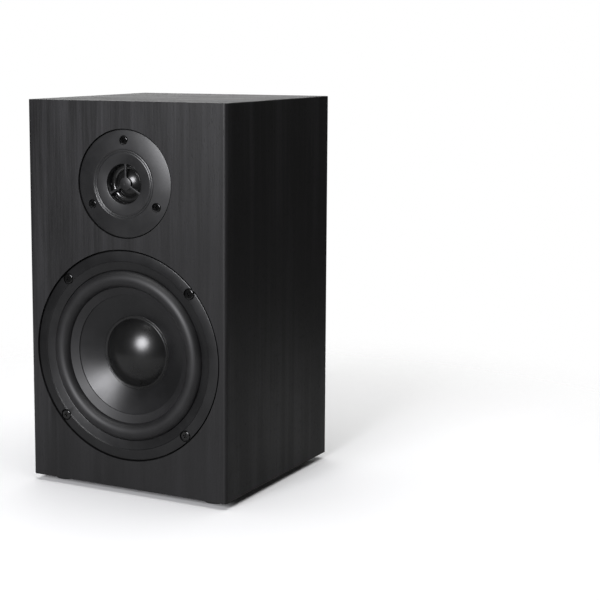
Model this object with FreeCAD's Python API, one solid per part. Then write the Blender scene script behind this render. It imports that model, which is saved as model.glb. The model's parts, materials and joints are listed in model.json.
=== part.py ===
import FreeCAD, Part
import math
import os

os.makedirs("parts", exist_ok=True)
Vector = FreeCAD.Vector

# Two-way sealed bookshelf speaker. Millimetres. The front faces -Y, +X is on the right seen
# from the front, +Z is up. The origin is on the floor under the middle of the cabinet.
# "Depth" is the distance behind the front face of the baffle.

# ---- driving dimensions: cabinet
cab_w = 178.0
cab_h = 301.0
cab_d = 172.0
baffle_t = 15.0
panel_t = 12.0
back_t = 9.0
rabbet_w = 6.0
back_clearance = 0.15
front_edge_r = 3.0
fold_edge_r = 0.8
foot_h = 5.0
foot_r = 10.0
foot_inset = 10.0
foot_edge_r = 1.0
grille_magnet_r = 5.0
grille_magnet_t = 3.0
grille_magnet_skin = 3.0
grille_magnet_inset = 19.0
magnet_clearance = 0.1

# ---- driving dimensions: woofer
woofer_height = 105.0
woofer_r = 81.8
woofer_gap = 1.1
trim_rim = 7.8
trim_crown = 0.6
trim_step = 0.4
trim_step_drop = 0.5
trim_slope = 6.7
trim_slope_drop = 1.2
trim_t = 3.0
trim_bevel = 0.5
flange_t = 1.5
gasket_t = 1.0
ledge_w = 8.8
bolt_inset = 4.3
bolt_turn = -2.0
rubber_t = 0.8
roll_gap = 0.3
roll_w = 13.2
roll_h = 6.3
outer_land_w = 4.6
inner_land_w = 6.1
inner_land_drop = 3.2
glue_gap = 0.3
film_gap = 0.05
cone_t = 0.9
cone_neck_depth = 24.0
cone_flare = 1.0
cap_r = 27.0
cap_h = 11.5
cap_t = 0.8
cap_rim = 1.8
coil_bore_r = 15.0
former_t = 0.25
winding_t = 0.75
winding_l = 13.0
running_gap = 0.35
plate_gap = 0.4
basket_t = 1.3
basket_skirt = 12.0
ledge_depth = 34.0
ledge_r = 47.6
ledge_inner_r = 41.0
basket_floor_drop = 8.8
window_count = 6
window_w = 38.0
window_start = 13.5
window_margin = 2.5
spider_t = 0.5
spider_waves = 5
spider_wave_h = 1.0
plate_t = 5.0
plate_r = 42.0
woofer_magnet_r = 45.0
woofer_magnet_t = 15.0
woofer_magnet_bore = 22.0
yoke_t = 6.0
yoke_r = 43.0
vent_r = 4.0

# ---- driving dimensions: tweeter
tweeter_height = 238.3
tweeter_r = 41.2
face_gap = 0.8
face_t = 4.0
face_edge_drop = 0.9
face_crown = 1.9
face_gasket_t = 0.5
face_bevel = 0.4
tweeter_cutout_r = 29.0
tweeter_bolt_r = 33.3
groove_r = 26.8
groove_w = 3.3
groove_drop = 0.6
groove_flank = 0.3
ridge_drop = 0.1
horn_mouth_drop = 0.3
horn_throat_r = 15.5
horn_throat_drop = 1.0
boss_r = 26.5
plug_r = 5.0
plug_front = 1.2
plug_back = 2.7
dimple_r = 0.7
spoke_w = 1.9
spoke_front = 1.7
spoke_back = 2.9
dome_r = 10.5
dome_h = 3.6
dome_t = 0.25
dome_apex = 3.5
tweeter_roll_w = 4.4
tweeter_roll_h = 2.0
tweeter_land_w = 2.2
tweeter_plate_t = 3.0
tweeter_plate_r = 27.0
tweeter_winding_l = 3.6
tweeter_winding_t = 0.35
tweeter_former_t = 0.1
tweeter_magnet_r = 28.0
tweeter_magnet_t = 10.0
tweeter_magnet_bore = 16.5
tweeter_yoke_t = 4.0

# ---- driving dimensions: screws (head radius, head height, shank radius, length under the head)
woofer_screw = (3.9, 2.0, 1.9, 11.5)
tweeter_screw = (3.0, 1.8, 1.5, 11.0)
plate_screw = (3.2, 1.8, 1.6, 9.5)
board_screw = (2.8, 1.6, 1.4, 12.0)
screw_sink = 0.4
head_clearance = 0.7
shank_clearance = 0.03
cross_w = 0.9
cross_l = 3.4
cross_depth = 1.1

# ---- driving dimensions: terminal plate
terminal_height = 85.0
plate_w = 76.0
plate_h = 54.0
cup_plate_t = 2.0
cup_w = 54.0
cup_h = 36.0
cup_depth = 12.0
cup_wall = 2.0
cup_clearance = 0.5
cup_gasket_t = 0.5
corner_r = 4.0
screw_inset = 5.0
lever_pitch = 26.0
lever_w = 12.0
lever_l = 14.0
lever_back = 1.0
lever_front = 1.6
lever_lip = 3.0
lever_hub_r = 2.6
lever_tilt = 20.0
lever_travel = 17.0
hinge_rise = 10.0
hinge_out = 3.0
pin_r = 1.0
pin_clearance = 0.05
ear_t = 2.0
ear_gap = 0.3
wire_bore_r = 1.75
wire_drop = 11.0
collar_r = 4.0
collar_h = 3.0
strip_w = 6.0
strip_t = 0.4
strip_slot_gap = 0.1
tab_l = 9.0
tab_rise = 4.0

# ---- driving dimensions: crossover
board_w = 90.0
board_h = 64.0
board_t = 1.6
board_height = 199.0
standoff_h = 6.0
standoff_r = 3.5
board_inset = 5.0
capacitor_r = 7.5
capacitor_l = 30.0
bobbin_r = 15.0
bobbin_core_r = 7.0
bobbin_h = 18.0
bobbin_flange = 1.5
resistor_l = 34.0
resistor_w = 9.0
leg_r = 0.5
lead_d = 2.0
tinsel_d = 1.2

# ---- places worked out from the driving dimensions
half_w = cab_w / 2
front_y = -cab_d / 2
rear_y = cab_d / 2
baffle_back_y = front_y + baffle_t
back_inner_y = rear_y - back_t
bottom_z = foot_h
top_z = foot_h + cab_h
woofer_z = bottom_z + woofer_height
tweeter_z = bottom_z + tweeter_height
terminal_z = bottom_z + terminal_height
board_z = bottom_z + board_height


def save(node, shape):
    if not shape.isValid():
        raise ValueError(node + " is not a valid shape")
    shape.exportStep("parts/" + node + ".step")
    print(node, len(shape.Solids), "solid(s)", round(shape.Volume, 1), "mm3")


def box(x0, x1, y0, y1, z0, z1):
    return Part.makeBox(x1 - x0, y1 - y0, z1 - z0, Vector(x0, y0, z0))


def rod(radius, start, end):
    run = end - start
    return Part.makeCylinder(radius, run.Length, start, run)


def runs_along(edge, direction):
    if not isinstance(edge.Curve, Part.Line):
        return False
    return abs(edge.tangentAt(edge.FirstParameter).dot(direction)) > 0.999


def round_edges(shape, radius, direction, keep=lambda centre: True):
    edges = [e for e in shape.Edges if runs_along(e, direction) and keep(e.CenterOfMass)]
    return shape.makeFillet(radius, edges)


def group(solids):
    return Part.makeCompound(solids)


def turned(outline, axis_z, axis_x=0.0):
    """A ring turned round a driver's axis. Each outline entry is (radius, depth), reached by
    a straight line, or (radius, depth, via radius, via depth), reached by an arc."""
    def place(radius, depth):
        return Vector(axis_x + radius, front_y + depth, axis_z)

    edges = []
    ends = outline + [outline[0][:2]]
    for before, after in zip(ends, ends[1:]):
        start = place(*before[:2])
        end = place(*after[:2])
        if len(after) == 4:
            edges.append(Part.Arc(start, place(*after[2:]), end).toShape())
        else:
            edges.append(Part.LineSegment(start, end).toShape())
    face = Part.Face(Part.Wire(edges))
    return face.revolve(Vector(axis_x, 0, axis_z), Vector(0, 1, 0), 360)


def dome_drop(base_r, height, radius):
    """How far a round dome of a given base and height lies behind its apex at a radius."""
    sphere_r = (base_r ** 2 + height ** 2) / (2 * height)
    return sphere_r - math.sqrt(sphere_r ** 2 - radius ** 2)


def around(radius, angles, axis_z, depth):
    """Points on a circle round a driver's axis, angles in degrees up from +X."""
    return [Vector(radius * math.cos(math.radians(a)), front_y + depth,
                   axis_z + radius * math.sin(math.radians(a))) for a in angles]


def screw(size, seat, inwards, turn):
    """A pan-head screw with a cross recess. Its head stands on the seat, its shank runs
    inwards from there, and the recess is turned about its axis by an angle in degrees."""
    head_r, head_h, shank_r, length = size
    top = seat - inwards * head_h
    head = rod(head_r, seat, top)
    rim = [e for e in head.Edges if e.Closed and (e.CenterOfMass - top).Length < 0.01]
    head = head.makeFillet(head_h * 0.45, rim)
    shank = rod(shank_r, seat, seat + inwards * (length - shank_r))
    point = Part.makeCone(shank_r, 0.2, shank_r, seat + inwards * (length - shank_r), inwards)
    body = head.fuse([shank, point])
    for angle in (turn, turn + 90):
        slot = Part.makeBox(cross_l, 2 * cross_depth, cross_w,
                            Vector(-cross_l / 2, -cross_depth, -cross_w / 2))
        slot.rotate(Vector(0, 0, 0), Vector(0, 1, 0), angle)
        slot.translate(top)
        body = body.cut(slot)
    return body.removeSplitter()


def route_wire(points):
    """Straight runs joined by tangent arcs, each as large as its two runs allow."""
    edges = []
    radii = []
    last = points[0]
    for before, corner, after in zip(points, points[1:], points[2:]):
        back = (before - corner).normalize()
        on = (after - corner).normalize()
        turn = math.pi - back.getAngle(on)
        shorter = min((before - corner).Length, (after - corner).Length)
        trim = 0.45 * shorter
        radius = trim / math.tan(turn / 2)
        start = corner + back * trim
        end = corner + on * trim
        middle = (back + on).normalize()
        centre = corner + middle * (radius / math.cos(turn / 2))
        edges.append(Part.LineSegment(last, start).toShape())
        edges.append(Part.Arc(start, centre - middle * radius, end).toShape())
        radii.append(round(radius, 1))
        last = end
    edges.append(Part.LineSegment(last, points[-1]).toShape())
    return Part.Wire(edges), radii


def tube(name, points, diameter):
    """A lead of one diameter along its route."""
    path, radii = route_wire(points)
    start = points[0]
    ring = Part.Wire(Part.makeCircle(diameter / 2, start, points[1] - start))
    solid = path.makePipeShell([ring], True, False)
    ratio = solid.Volume / (math.pi * diameter ** 2 / 4 * path.Length)
    print(name, "length", round(path.Length, 1), "radii", radii, "volume ratio", round(ratio, 4))
    return solid


# ---- screw places
woofer_bolts = around(woofer_r - bolt_inset, [bolt_turn + a for a in (45, 135, 225, 315)],
                      woofer_z, 0)
tweeter_bolts = around(tweeter_bolt_r, (90, 210, 330), tweeter_z, 0)
woofer_seat = trim_t - (trim_t - screw_sink - woofer_screw[1])
tweeter_seat = screw_sink + tweeter_screw[1]
terminal_bolts = [Vector(sx * (plate_w / 2 - screw_inset), rear_y + cup_plate_t + cup_gasket_t,
                         terminal_z + sz * (plate_h / 2 - screw_inset))
                  for sx in (-1, 1) for sz in (-1, 1)]
board_front_y = back_inner_y - standoff_h - board_t
board_bolts = [Vector(sx * (board_w / 2 - board_inset), board_front_y,
                      board_z + sz * (board_h / 2 - board_inset))
               for sx in (-1, 1) for sz in (-1, 1)]
inwards = Vector(0, 1, 0)
from_back = Vector(0, -1, 0)


# ---- cabinet: a folded wrap of four mitred boards, a full-face baffle and a rabbeted back
def cabinet():
    outer = box(-half_w, half_w, front_y, rear_y, bottom_z, top_z)
    outer = round_edges(outer, fold_edge_r, Vector(0, 1, 0))
    faced = box(-half_w, half_w, front_y, rear_y, bottom_z, top_z)
    faced = round_edges(faced, front_edge_r, Vector(0, 0, 1), lambda c: c.y < 0)

    baffle = outer.common(faced)
    baffle = baffle.common(box(-half_w, half_w, front_y, baffle_back_y, bottom_z, top_z))
    recess = trim_t + flange_t + gasket_t
    cuts = turned([(0, -1), (woofer_r + woofer_gap, -1), (woofer_r + woofer_gap, recess),
                   (woofer_r - ledge_w, recess), (woofer_r - ledge_w, baffle_t + 1),
                   (0, baffle_t + 1)], woofer_z)
    face_recess = face_t + face_gasket_t
    holes = [cuts, turned([(0, -1), (tweeter_r + face_gap, -1), (tweeter_r + face_gap, face_recess),
                           (tweeter_cutout_r, face_recess), (tweeter_cutout_r, baffle_t + 1),
                           (0, baffle_t + 1)], tweeter_z)]
    for places, size, seat in ((woofer_bolts, woofer_screw, woofer_seat),
                               (tweeter_bolts, tweeter_screw, tweeter_seat)):
        for place in places:
            end = place + inwards * (seat + size[3] + 0.5)
            holes.append(rod(size[2] + shank_clearance, place, end))
    magnets = []
    for sx in (-1, 1):
        for z in (bottom_z + grille_magnet_inset, top_z - grille_magnet_inset):
            deep = Vector(sx * (half_w - grille_magnet_inset), front_y + grille_magnet_skin, z)
            magnets.append(rod(grille_magnet_r, deep, deep + inwards * grille_magnet_t))
            mouth = Vector(deep.x, baffle_back_y + 1, z)
            holes.append(rod(grille_magnet_r + magnet_clearance, deep, mouth))
    for hole in holes:
        baffle = baffle.cut(hole)
    save("front_baffle", baffle)
    save("baffle_magnets", group(magnets))

    inner_w = half_w - panel_t
    wrap = outer.common(box(-half_w, half_w, baffle_back_y, rear_y, bottom_z, top_z))
    wrap = wrap.cut(box(-inner_w, inner_w, front_y, rear_y + 1, bottom_z + panel_t, top_z - panel_t))
    rabbet = panel_t - rabbet_w
    wrap = wrap.cut(box(-half_w + rabbet, half_w - rabbet, back_inner_y, rear_y + 1,
                        bottom_z + rabbet, top_z - rabbet))
    out = (half_w, bottom_z, top_z)
    inn = (half_w - panel_t, bottom_z + panel_t, top_z - panel_t)
    sides = {
        "left_side_panel": [(-out[0], out[1]), (-inn[0], inn[1]), (-inn[0], inn[2]), (-out[0], out[2])],
        "right_side_panel": [(out[0], out[1]), (inn[0], inn[1]), (inn[0], inn[2]), (out[0], out[2])],
        "top_panel": [(-out[0], out[2]), (-inn[0], inn[2]), (inn[0], inn[2]), (out[0], out[2])],
        "bottom_panel": [(-out[0], out[1]), (-inn[0], inn[1]), (inn[0], inn[1]), (out[0], out[1])],
    }
    for node, corners in sides.items():
        ring = [Vector(x, front_y, z) for x, z in corners]
        face = Part.Face(Part.makePolygon(ring + ring[:1]))
        save(node, wrap.common(face.extrude(Vector(0, cab_d, 0))))

    edge = half_w - rabbet - back_clearance
    back = box(-edge, edge, back_inner_y, rear_y, bottom_z + rabbet + back_clearance,
               top_z - rabbet - back_clearance)
    open_w = cup_w / 2 + cup_wall + cup_clearance
    open_h = cup_h / 2 + cup_wall + cup_clearance
    back = back.cut(box(-open_w, open_w, back_inner_y - 1, rear_y + 1,
                        terminal_z - open_h, terminal_z + open_h))
    for place in terminal_bolts:
        end = place + from_back * (plate_screw[3] + 0.5)
        back = back.cut(rod(plate_screw[2] + shank_clearance, place, end))
    for place in board_bolts:
        end = place + inwards * (board_screw[3] + 0.5)
        back = back.cut(rod(board_screw[2] + shank_clearance, place, end))
    save("back_panel", back)


def feet():
    pads = []
    for sx in (-1, 1):
        for sy in (-1, 1):
            at = Vector(sx * (half_w - foot_inset - foot_r), sy * (cab_d / 2 - foot_inset - foot_r), 0)
            pad = rod(foot_r, at, at + Vector(0, 0, foot_h))
            rim = [e for e in pad.Edges if e.Closed and e.CenterOfMass.z < 0.01]
            pads.append(pad.makeFillet(foot_edge_r, rim))
    save("rubber_feet", group(pads))


def damping():
    inner_w = half_w - panel_t
    floor_z = bottom_z + panel_t
    pad = box(-inner_w + 4, inner_w - 4, baffle_back_y + 12, back_inner_y - 12, floor_z, floor_z + 24)
    pad = round_edges(pad, 9.0, Vector(0, 0, 1))
    save("damping_pad", pad)


# ---- woofer: sizes that follow each other from the flange inwards
trim_inner_r = woofer_r - trim_rim - trim_step - trim_slope
roll_outer_r = trim_inner_r - roll_gap
roll_mid_r = roll_outer_r - roll_w / 2
roll_inner_r = roll_outer_r - roll_w
land_inner_r = roll_inner_r - inner_land_w
land_front = trim_t + film_gap
land_seat = land_front + rubber_t + film_gap
land_tip = land_front + inner_land_drop
land_outer_r = roll_outer_r + outer_land_w
former_r = coil_bore_r + former_t
basket_floor_depth = ledge_depth + basket_floor_drop
basket_back = basket_floor_depth + basket_t
plate_back = basket_back + plate_t
magnet_back = plate_back + woofer_magnet_t
winding_mid = basket_back + plate_t / 2
cone_land = land_tip + rubber_t + glue_gap
cone_neck_r = former_r + film_gap
cone_mid_r = (land_inner_r + cone_neck_r) / 2
cone_mid = (cone_land + cone_neck_depth) / 2 - cone_flare


def cone_depth_at(radius):
    """Depth of the cone's front face, on the arc through its land, middle and neck."""
    arc = Part.Arc(Vector(land_inner_r, cone_land, 0), Vector(cone_mid_r, cone_mid, 0),
                   Vector(cone_neck_r, cone_neck_depth, 0)).toShape().Curve
    side = 1 if cone_mid > arc.Center.y else -1
    return arc.Center.y + side * math.sqrt(arc.Radius ** 2 - (radius - arc.Center.x) ** 2)


def woofer_frame():
    step_r = woofer_r - trim_rim
    slope_r = step_r - trim_step
    trim = turned([(woofer_r - trim_bevel, trim_crown), (step_r, 0), (slope_r, trim_step_drop),
                   (trim_inner_r, trim_step_drop + trim_slope_drop), (trim_inner_r, trim_t),
                   (woofer_r, trim_t), (woofer_r, trim_crown + trim_bevel)], woofer_z)

    seat_r = land_outer_r + film_gap
    skirt_r = roll_outer_r - 2.0
    lower_r = skirt_r - 2.0
    wall = basket_t
    basket = turned([
        (woofer_r, trim_t), (woofer_r, trim_t + flange_t), (seat_r + wall, trim_t + flange_t),
        (seat_r + wall, land_seat + wall), (skirt_r + wall, land_seat + wall),
        (lower_r + wall, basket_skirt), (ledge_r + wall, ledge_depth),
        (ledge_r + wall, ledge_depth + wall), (ledge_inner_r + wall, ledge_depth + wall),
        (ledge_inner_r + wall, basket_back), (former_r + winding_t + 2.5, basket_back),
        (former_r + winding_t + 2.5, basket_floor_depth), (ledge_inner_r, basket_floor_depth),
        (ledge_inner_r, ledge_depth), (ledge_r, ledge_depth), (lower_r, basket_skirt),
        (skirt_r, land_seat), (seat_r, land_seat), (seat_r, trim_t)], woofer_z)
    for k in range(window_count):
        window = box(ledge_inner_r, woofer_r, front_y + window_start,
                     front_y + ledge_depth - window_margin, -window_w / 2, window_w / 2)
        window.rotate(Vector(0, 0, 0), Vector(0, 1, 0), k * 360 / window_count)
        window.translate(Vector(0, 0, woofer_z))
        basket = basket.cut(window)

    gasket_front = trim_t + flange_t
    gasket = turned([(woofer_r, gasket_front), (woofer_r, gasket_front + gasket_t),
                     (woofer_r - ledge_w, gasket_front + gasket_t),
                     (woofer_r - ledge_w, gasket_front)], woofer_z)
    screws = []
    for k, place in enumerate(woofer_bolts):
        clear = rod(woofer_screw[2] + shank_clearance, place, place + inwards * baffle_t)
        bore = rod(woofer_screw[0] + head_clearance, place, place + inwards * woofer_seat)
        trim = trim.cut(clear.fuse(bore))
        basket = basket.cut(clear)
        gasket = gasket.cut(clear)
        screws.append(screw(woofer_screw, place + inwards * woofer_seat, inwards, 17 + 31 * k))
    save("woofer_trim_ring", trim)
    save("woofer_basket", basket)
    save("woofer_gasket", gasket)
    save("woofer_screws", group(screws))


def woofer_moving():
    back = land_front + rubber_t
    surround = turned([
        (land_outer_r, land_front), (roll_outer_r, land_front),
        (roll_inner_r, land_front, roll_mid_r, land_front - roll_h),
        (land_inner_r, land_tip), (land_inner_r, land_tip + rubber_t),
        (roll_inner_r + rubber_t, back),
        (roll_outer_r - rubber_t, back, roll_mid_r, back - roll_h),
        (land_outer_r, back)], woofer_z)
    save("woofer_surround", surround)

    rim_r = roll_inner_r + rubber_t - 0.6
    rim_front = back + glue_gap
    cone = turned([
        (rim_r, rim_front), (land_inner_r, cone_land),
        (cone_neck_r, cone_neck_depth, cone_mid_r, cone_mid),
        (cone_neck_r, cone_neck_depth + cone_t),
        (land_inner_r, cone_land + cone_t, cone_mid_r, cone_mid + cone_t),
        (rim_r, rim_front + cone_t)], woofer_z)
    save("woofer_cone", cone)

    seat = cone_depth_at(cap_r) - film_gap
    rim_seat = cone_depth_at(cap_r + cap_rim) - film_gap
    apex = seat - cap_t - cap_h
    side_r = cap_r * 0.6
    drop = dome_drop(cap_r, cap_h, side_r)
    cap = turned([
        (0, apex), (cap_r, seat - cap_t, side_r, apex + drop),
        (cap_r + cap_rim, rim_seat - 0.3), (cap_r + cap_rim, rim_seat), (cap_r, seat),
        (0, apex + cap_t, side_r, apex + cap_t + drop)], woofer_z)
    save("woofer_dust_cap", cap)

    coil_end = winding_mid + winding_l / 2
    former = turned([(coil_bore_r, cone_neck_depth - 2.0), (former_r, cone_neck_depth - 2.0),
                     (former_r, coil_end + 1.0), (coil_bore_r, coil_end + 1.0)], woofer_z)
    save("woofer_coil_former", former)
    winding = turned([(former_r, coil_end - winding_l), (former_r + winding_t, coil_end - winding_l),
                      (former_r + winding_t, coil_end), (former_r, coil_end)], woofer_z)
    save("woofer_coil_winding", winding)

    inner_r = former_r + glue_gap
    rest_d = ledge_depth - spider_t - film_gap
    wave = (ledge_inner_r - 1.0 - inner_r - 2.0) / spider_waves / 2
    tops = [(inner_r, rest_d), (inner_r + 2.0, rest_d)]
    backs = [(inner_r, rest_d + spider_t), (inner_r + 2.0, rest_d + spider_t)]
    for k in range(2 * spider_waves):
        start = inner_r + 2.0 + k * wave
        swing = spider_wave_h if k % 2 else -spider_wave_h
        tops.append((start + wave, rest_d, start + wave / 2, rest_d + swing))
        backs.append((start + wave, rest_d + spider_t, start + wave / 2, rest_d + spider_t + swing))
    outer_r = ledge_r - 0.5
    outline = tops + [(outer_r, rest_d), (outer_r, rest_d + spider_t)]
    plain_back = [p[:2] for p in backs]
    for k in range(len(backs) - 1, -1, -1):
        step = plain_back[k]
        if k < len(backs) - 1 and len(backs[k + 1]) == 4:
            step = step + backs[k + 1][2:]
        outline.append(step)
    save("woofer_spider", turned(outline, woofer_z))


def woofer_motor():
    bore = former_r + winding_t + plate_gap
    save("woofer_top_plate", turned([(bore, basket_back), (plate_r, basket_back),
                                     (plate_r, plate_back), (bore, plate_back)], woofer_z))
    save("woofer_magnet", turned([
        (woofer_magnet_bore, plate_back), (woofer_magnet_r - 0.8, plate_back),
        (woofer_magnet_r, plate_back + 0.8), (woofer_magnet_r, magnet_back - 0.8),
        (woofer_magnet_r - 0.8, magnet_back), (woofer_magnet_bore, magnet_back)], woofer_z))
    pole_r = coil_bore_r - running_gap
    save("woofer_yoke", turned([
        (vent_r, basket_back), (pole_r, basket_back), (pole_r, magnet_back),
        (yoke_r, magnet_back), (yoke_r, magnet_back + yoke_t - 1.5),
        (yoke_r - 1.5, magnet_back + yoke_t), (vent_r + 2, magnet_back + yoke_t),
        (vent_r, magnet_back + yoke_t - 2)], woofer_z))


strip_front = ledge_depth + basket_t
strip_board_t = 1.6
strip_out_r = ledge_r + 14.0
lug_z = 5.0
lug_t = 0.6


def woofer_terminals():
    strip = box(-strip_out_r, -(ledge_inner_r + basket_t + 0.3), front_y + strip_front,
                front_y + strip_front + strip_board_t, woofer_z - 9, woofer_z + 9)
    strip = round_edges(strip, 2.0, Vector(0, 1, 0), lambda c: c.x < -strip_out_r + 1)
    lugs = []
    for side in (-1, 1):
        z = woofer_z + side * lug_z
        lug_y = front_y + strip_front + strip_board_t
        lug = box(-strip_out_r - 5, -strip_out_r + 8, lug_y, lug_y + lug_t, z - 1.5, z + 1.5)
        rivet = rod(1.2, Vector(-strip_out_r + 6, front_y + strip_front - 0.5, z),
                    Vector(-strip_out_r + 6, lug_y + 1.2, z))
        strip = strip.cut(rivet)
        lugs.append(lug.fuse(rivet))
    save("woofer_terminal_strip", group([strip]))
    save("woofer_terminal_lugs", group(lugs))

    leads = []
    cone_r = 32.0
    for side in (-1, 1):
        z = woofer_z + side * lug_z
        start_r = strip_out_r - 6
        end_depth = cone_depth_at(cone_r) + cone_t + glue_gap
        points = [Vector(-start_r, front_y + strip_front - 0.5, z),
                  Vector(-start_r, front_y + strip_front - 9.5, z),
                  Vector(-start_r + 10, front_y + strip_front - 13.5, z + side * 2.0),
                  Vector(-cone_r, front_y + end_depth + 8, z + side * 1.0),
                  Vector(-cone_r, front_y + end_depth, z + side * 1.0)]
        leads.append(tube("woofer_tinsel_lead", points, tinsel_d))
    save("woofer_tinsel_leads", group(leads))


# ---- tweeter
dome_base = dome_apex + dome_h
tweeter_land = dome_base + dome_t
dome_gap = 0.3
tweeter_plate_front = tweeter_land + 0.3
tweeter_plate_back = tweeter_plate_front + tweeter_plate_t
tweeter_magnet_back = tweeter_plate_back + tweeter_magnet_t
tweeter_back = tweeter_magnet_back + tweeter_yoke_t
tweeter_roll_in = dome_r + dome_gap
tweeter_roll_out = tweeter_roll_in + tweeter_roll_w
tweeter_coil_r = dome_r - 0.15


def tweeter_front():
    crest = face_edge_drop - face_crown
    low = crest + groove_drop
    ridge = crest + ridge_drop
    inner = groove_r - groove_w
    fourth = groove_w / 4
    face = turned([
        (tweeter_r, face_edge_drop + face_bevel), (tweeter_r - face_bevel, face_edge_drop),
        (groove_r, crest), (groove_r - groove_flank, low), (groove_r - fourth, low),
        (groove_r - fourth - groove_flank, ridge), (groove_r - 2 * fourth, ridge),
        (groove_r - 2 * fourth - groove_flank, low), (groove_r - 3 * fourth, low),
        (inner, crest + horn_mouth_drop), (horn_throat_r, crest + horn_throat_drop),
        (horn_throat_r, tweeter_land - 0.3), (horn_throat_r + 2.4, tweeter_land - 0.3),
        (horn_throat_r + 2.4, tweeter_plate_front), (boss_r, tweeter_plate_front),
        (boss_r, face_t), (tweeter_r, face_t)], tweeter_z)
    plug = turned([(0, plug_front + 0.35), (dimple_r, plug_front), (plug_r - 0.5, plug_front),
                   (plug_r, plug_front + 0.5), (plug_r, plug_back), (0, plug_back)], tweeter_z)
    pieces = [plug]
    for angle in (90, 210, 330):
        spoke = box(plug_r - 1, horn_throat_r + 1, front_y + spoke_front, front_y + spoke_back,
                    -spoke_w / 2, spoke_w / 2)
        spoke.rotate(Vector(0, 0, 0), Vector(0, 1, 0), -angle)
        spoke.translate(Vector(0, 0, tweeter_z))
        pieces.append(spoke)
    face = face.fuse(pieces)
    gasket = turned([(tweeter_r, face_t), (tweeter_r, face_t + face_gasket_t),
                     (tweeter_cutout_r, face_t + face_gasket_t), (tweeter_cutout_r, face_t)], tweeter_z)
    screws = []
    for k, place in enumerate(tweeter_bolts):
        clear = rod(tweeter_screw[2] + shank_clearance, place, place + inwards * baffle_t)
        bore = rod(tweeter_screw[0] + head_clearance, place - inwards * face_crown,
                   place + inwards * tweeter_seat)
        face = face.cut(clear.fuse(bore))
        gasket = gasket.cut(clear)
        screws.append(screw(tweeter_screw, place + inwards * tweeter_seat, inwards, 40 + 23 * k))
    save("tweeter_faceplate", face.removeSplitter())
    save("tweeter_gasket", gasket)
    save("tweeter_screws", group(screws))


def tweeter_moving():
    side_r = dome_r * 0.6
    drop = dome_drop(dome_r, dome_h, side_r)
    dome = turned([
        (0, dome_apex), (dome_r, dome_base, side_r, dome_apex + drop),
        (dome_r, dome_base + dome_t),
        (0, dome_apex + dome_t, side_r, dome_apex + dome_t + drop)], tweeter_z)
    save("tweeter_dome", dome)
    mid = (tweeter_roll_in + tweeter_roll_out) / 2
    land_r = tweeter_roll_out + tweeter_land_w
    surround = turned([
        (tweeter_roll_in, dome_base), (tweeter_roll_out, dome_base, mid, dome_base - tweeter_roll_h),
        (land_r, dome_base), (land_r, tweeter_land), (tweeter_roll_out - dome_t, tweeter_land),
        (tweeter_roll_in + dome_t, tweeter_land, mid, tweeter_land - tweeter_roll_h),
        (tweeter_roll_in, tweeter_land)], tweeter_z)
    save("tweeter_surround", surround)
    winding_mid_depth = tweeter_plate_front + tweeter_plate_t / 2
    start = winding_mid_depth - tweeter_winding_l / 2
    end = winding_mid_depth + tweeter_winding_l / 2
    top = dome_base + dome_t
    inner = tweeter_coil_r - tweeter_former_t
    save("tweeter_coil_former", turned([(inner, top), (tweeter_coil_r, top),
                                        (tweeter_coil_r, end + 0.4), (inner, end + 0.4)], tweeter_z))
    outer = tweeter_coil_r + tweeter_winding_t
    save("tweeter_coil_winding", turned([(tweeter_coil_r, start), (outer, start),
                                         (outer, end), (tweeter_coil_r, end)], tweeter_z))


def tweeter_motor():
    bore = tweeter_coil_r + tweeter_winding_t + plate_gap
    save("tweeter_top_plate", turned([(bore, tweeter_plate_front), (tweeter_plate_r, tweeter_plate_front),
                                      (tweeter_plate_r, tweeter_plate_back),
                                      (bore, tweeter_plate_back)], tweeter_z))
    save("tweeter_magnet", turned([
        (tweeter_magnet_bore, tweeter_plate_back), (tweeter_magnet_r - 0.6, tweeter_plate_back),
        (tweeter_magnet_r, tweeter_plate_back + 0.6), (tweeter_magnet_r, tweeter_magnet_back - 0.6),
        (tweeter_magnet_r - 0.6, tweeter_magnet_back),
        (tweeter_magnet_bore, tweeter_magnet_back)], tweeter_z))
    pole_r = tweeter_coil_r - tweeter_former_t - running_gap
    save("tweeter_yoke", turned([
        (0, tweeter_plate_front + 0.5), (pole_r, tweeter_plate_front + 0.5),
        (pole_r, tweeter_magnet_back), (tweeter_plate_r, tweeter_magnet_back),
        (tweeter_plate_r, tweeter_back - 1), (tweeter_plate_r - 1, tweeter_back),
        (0, tweeter_back)], tweeter_z))


tweeter_tab_x = 6.0
tweeter_strip_t = 1.6
tweeter_tab_l = 8.0
tweeter_tab_y = front_y + tweeter_back + tweeter_strip_t + tweeter_tab_l


def tweeter_terminals():
    back = front_y + tweeter_back
    strip = box(-11, 11, back, back + tweeter_strip_t, tweeter_z - 6, tweeter_z + 6)
    strip = round_edges(strip, 2.0, Vector(0, 1, 0))
    tabs = []
    for side in (-1, 1):
        x = side * tweeter_tab_x
        tabs.append(box(x - 0.3, x + 0.3, back + tweeter_strip_t, tweeter_tab_y,
                        tweeter_z - 1.4, tweeter_z + 1.4))
    save("tweeter_terminal_strip", strip)
    save("tweeter_terminal_tabs", group(tabs))


# ---- terminal plate in the back
cup_face_y = rear_y + cup_gasket_t + cup_plate_t
cup_floor_y = cup_face_y - cup_depth
hinge_y = cup_floor_y + hinge_out
hinge_z = terminal_z + hinge_rise
lever_x = (-lever_pitch / 2, lever_pitch / 2)
strip_z = terminal_z + tab_rise
tab_end_y = cup_floor_y - cup_wall - tab_l


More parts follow.
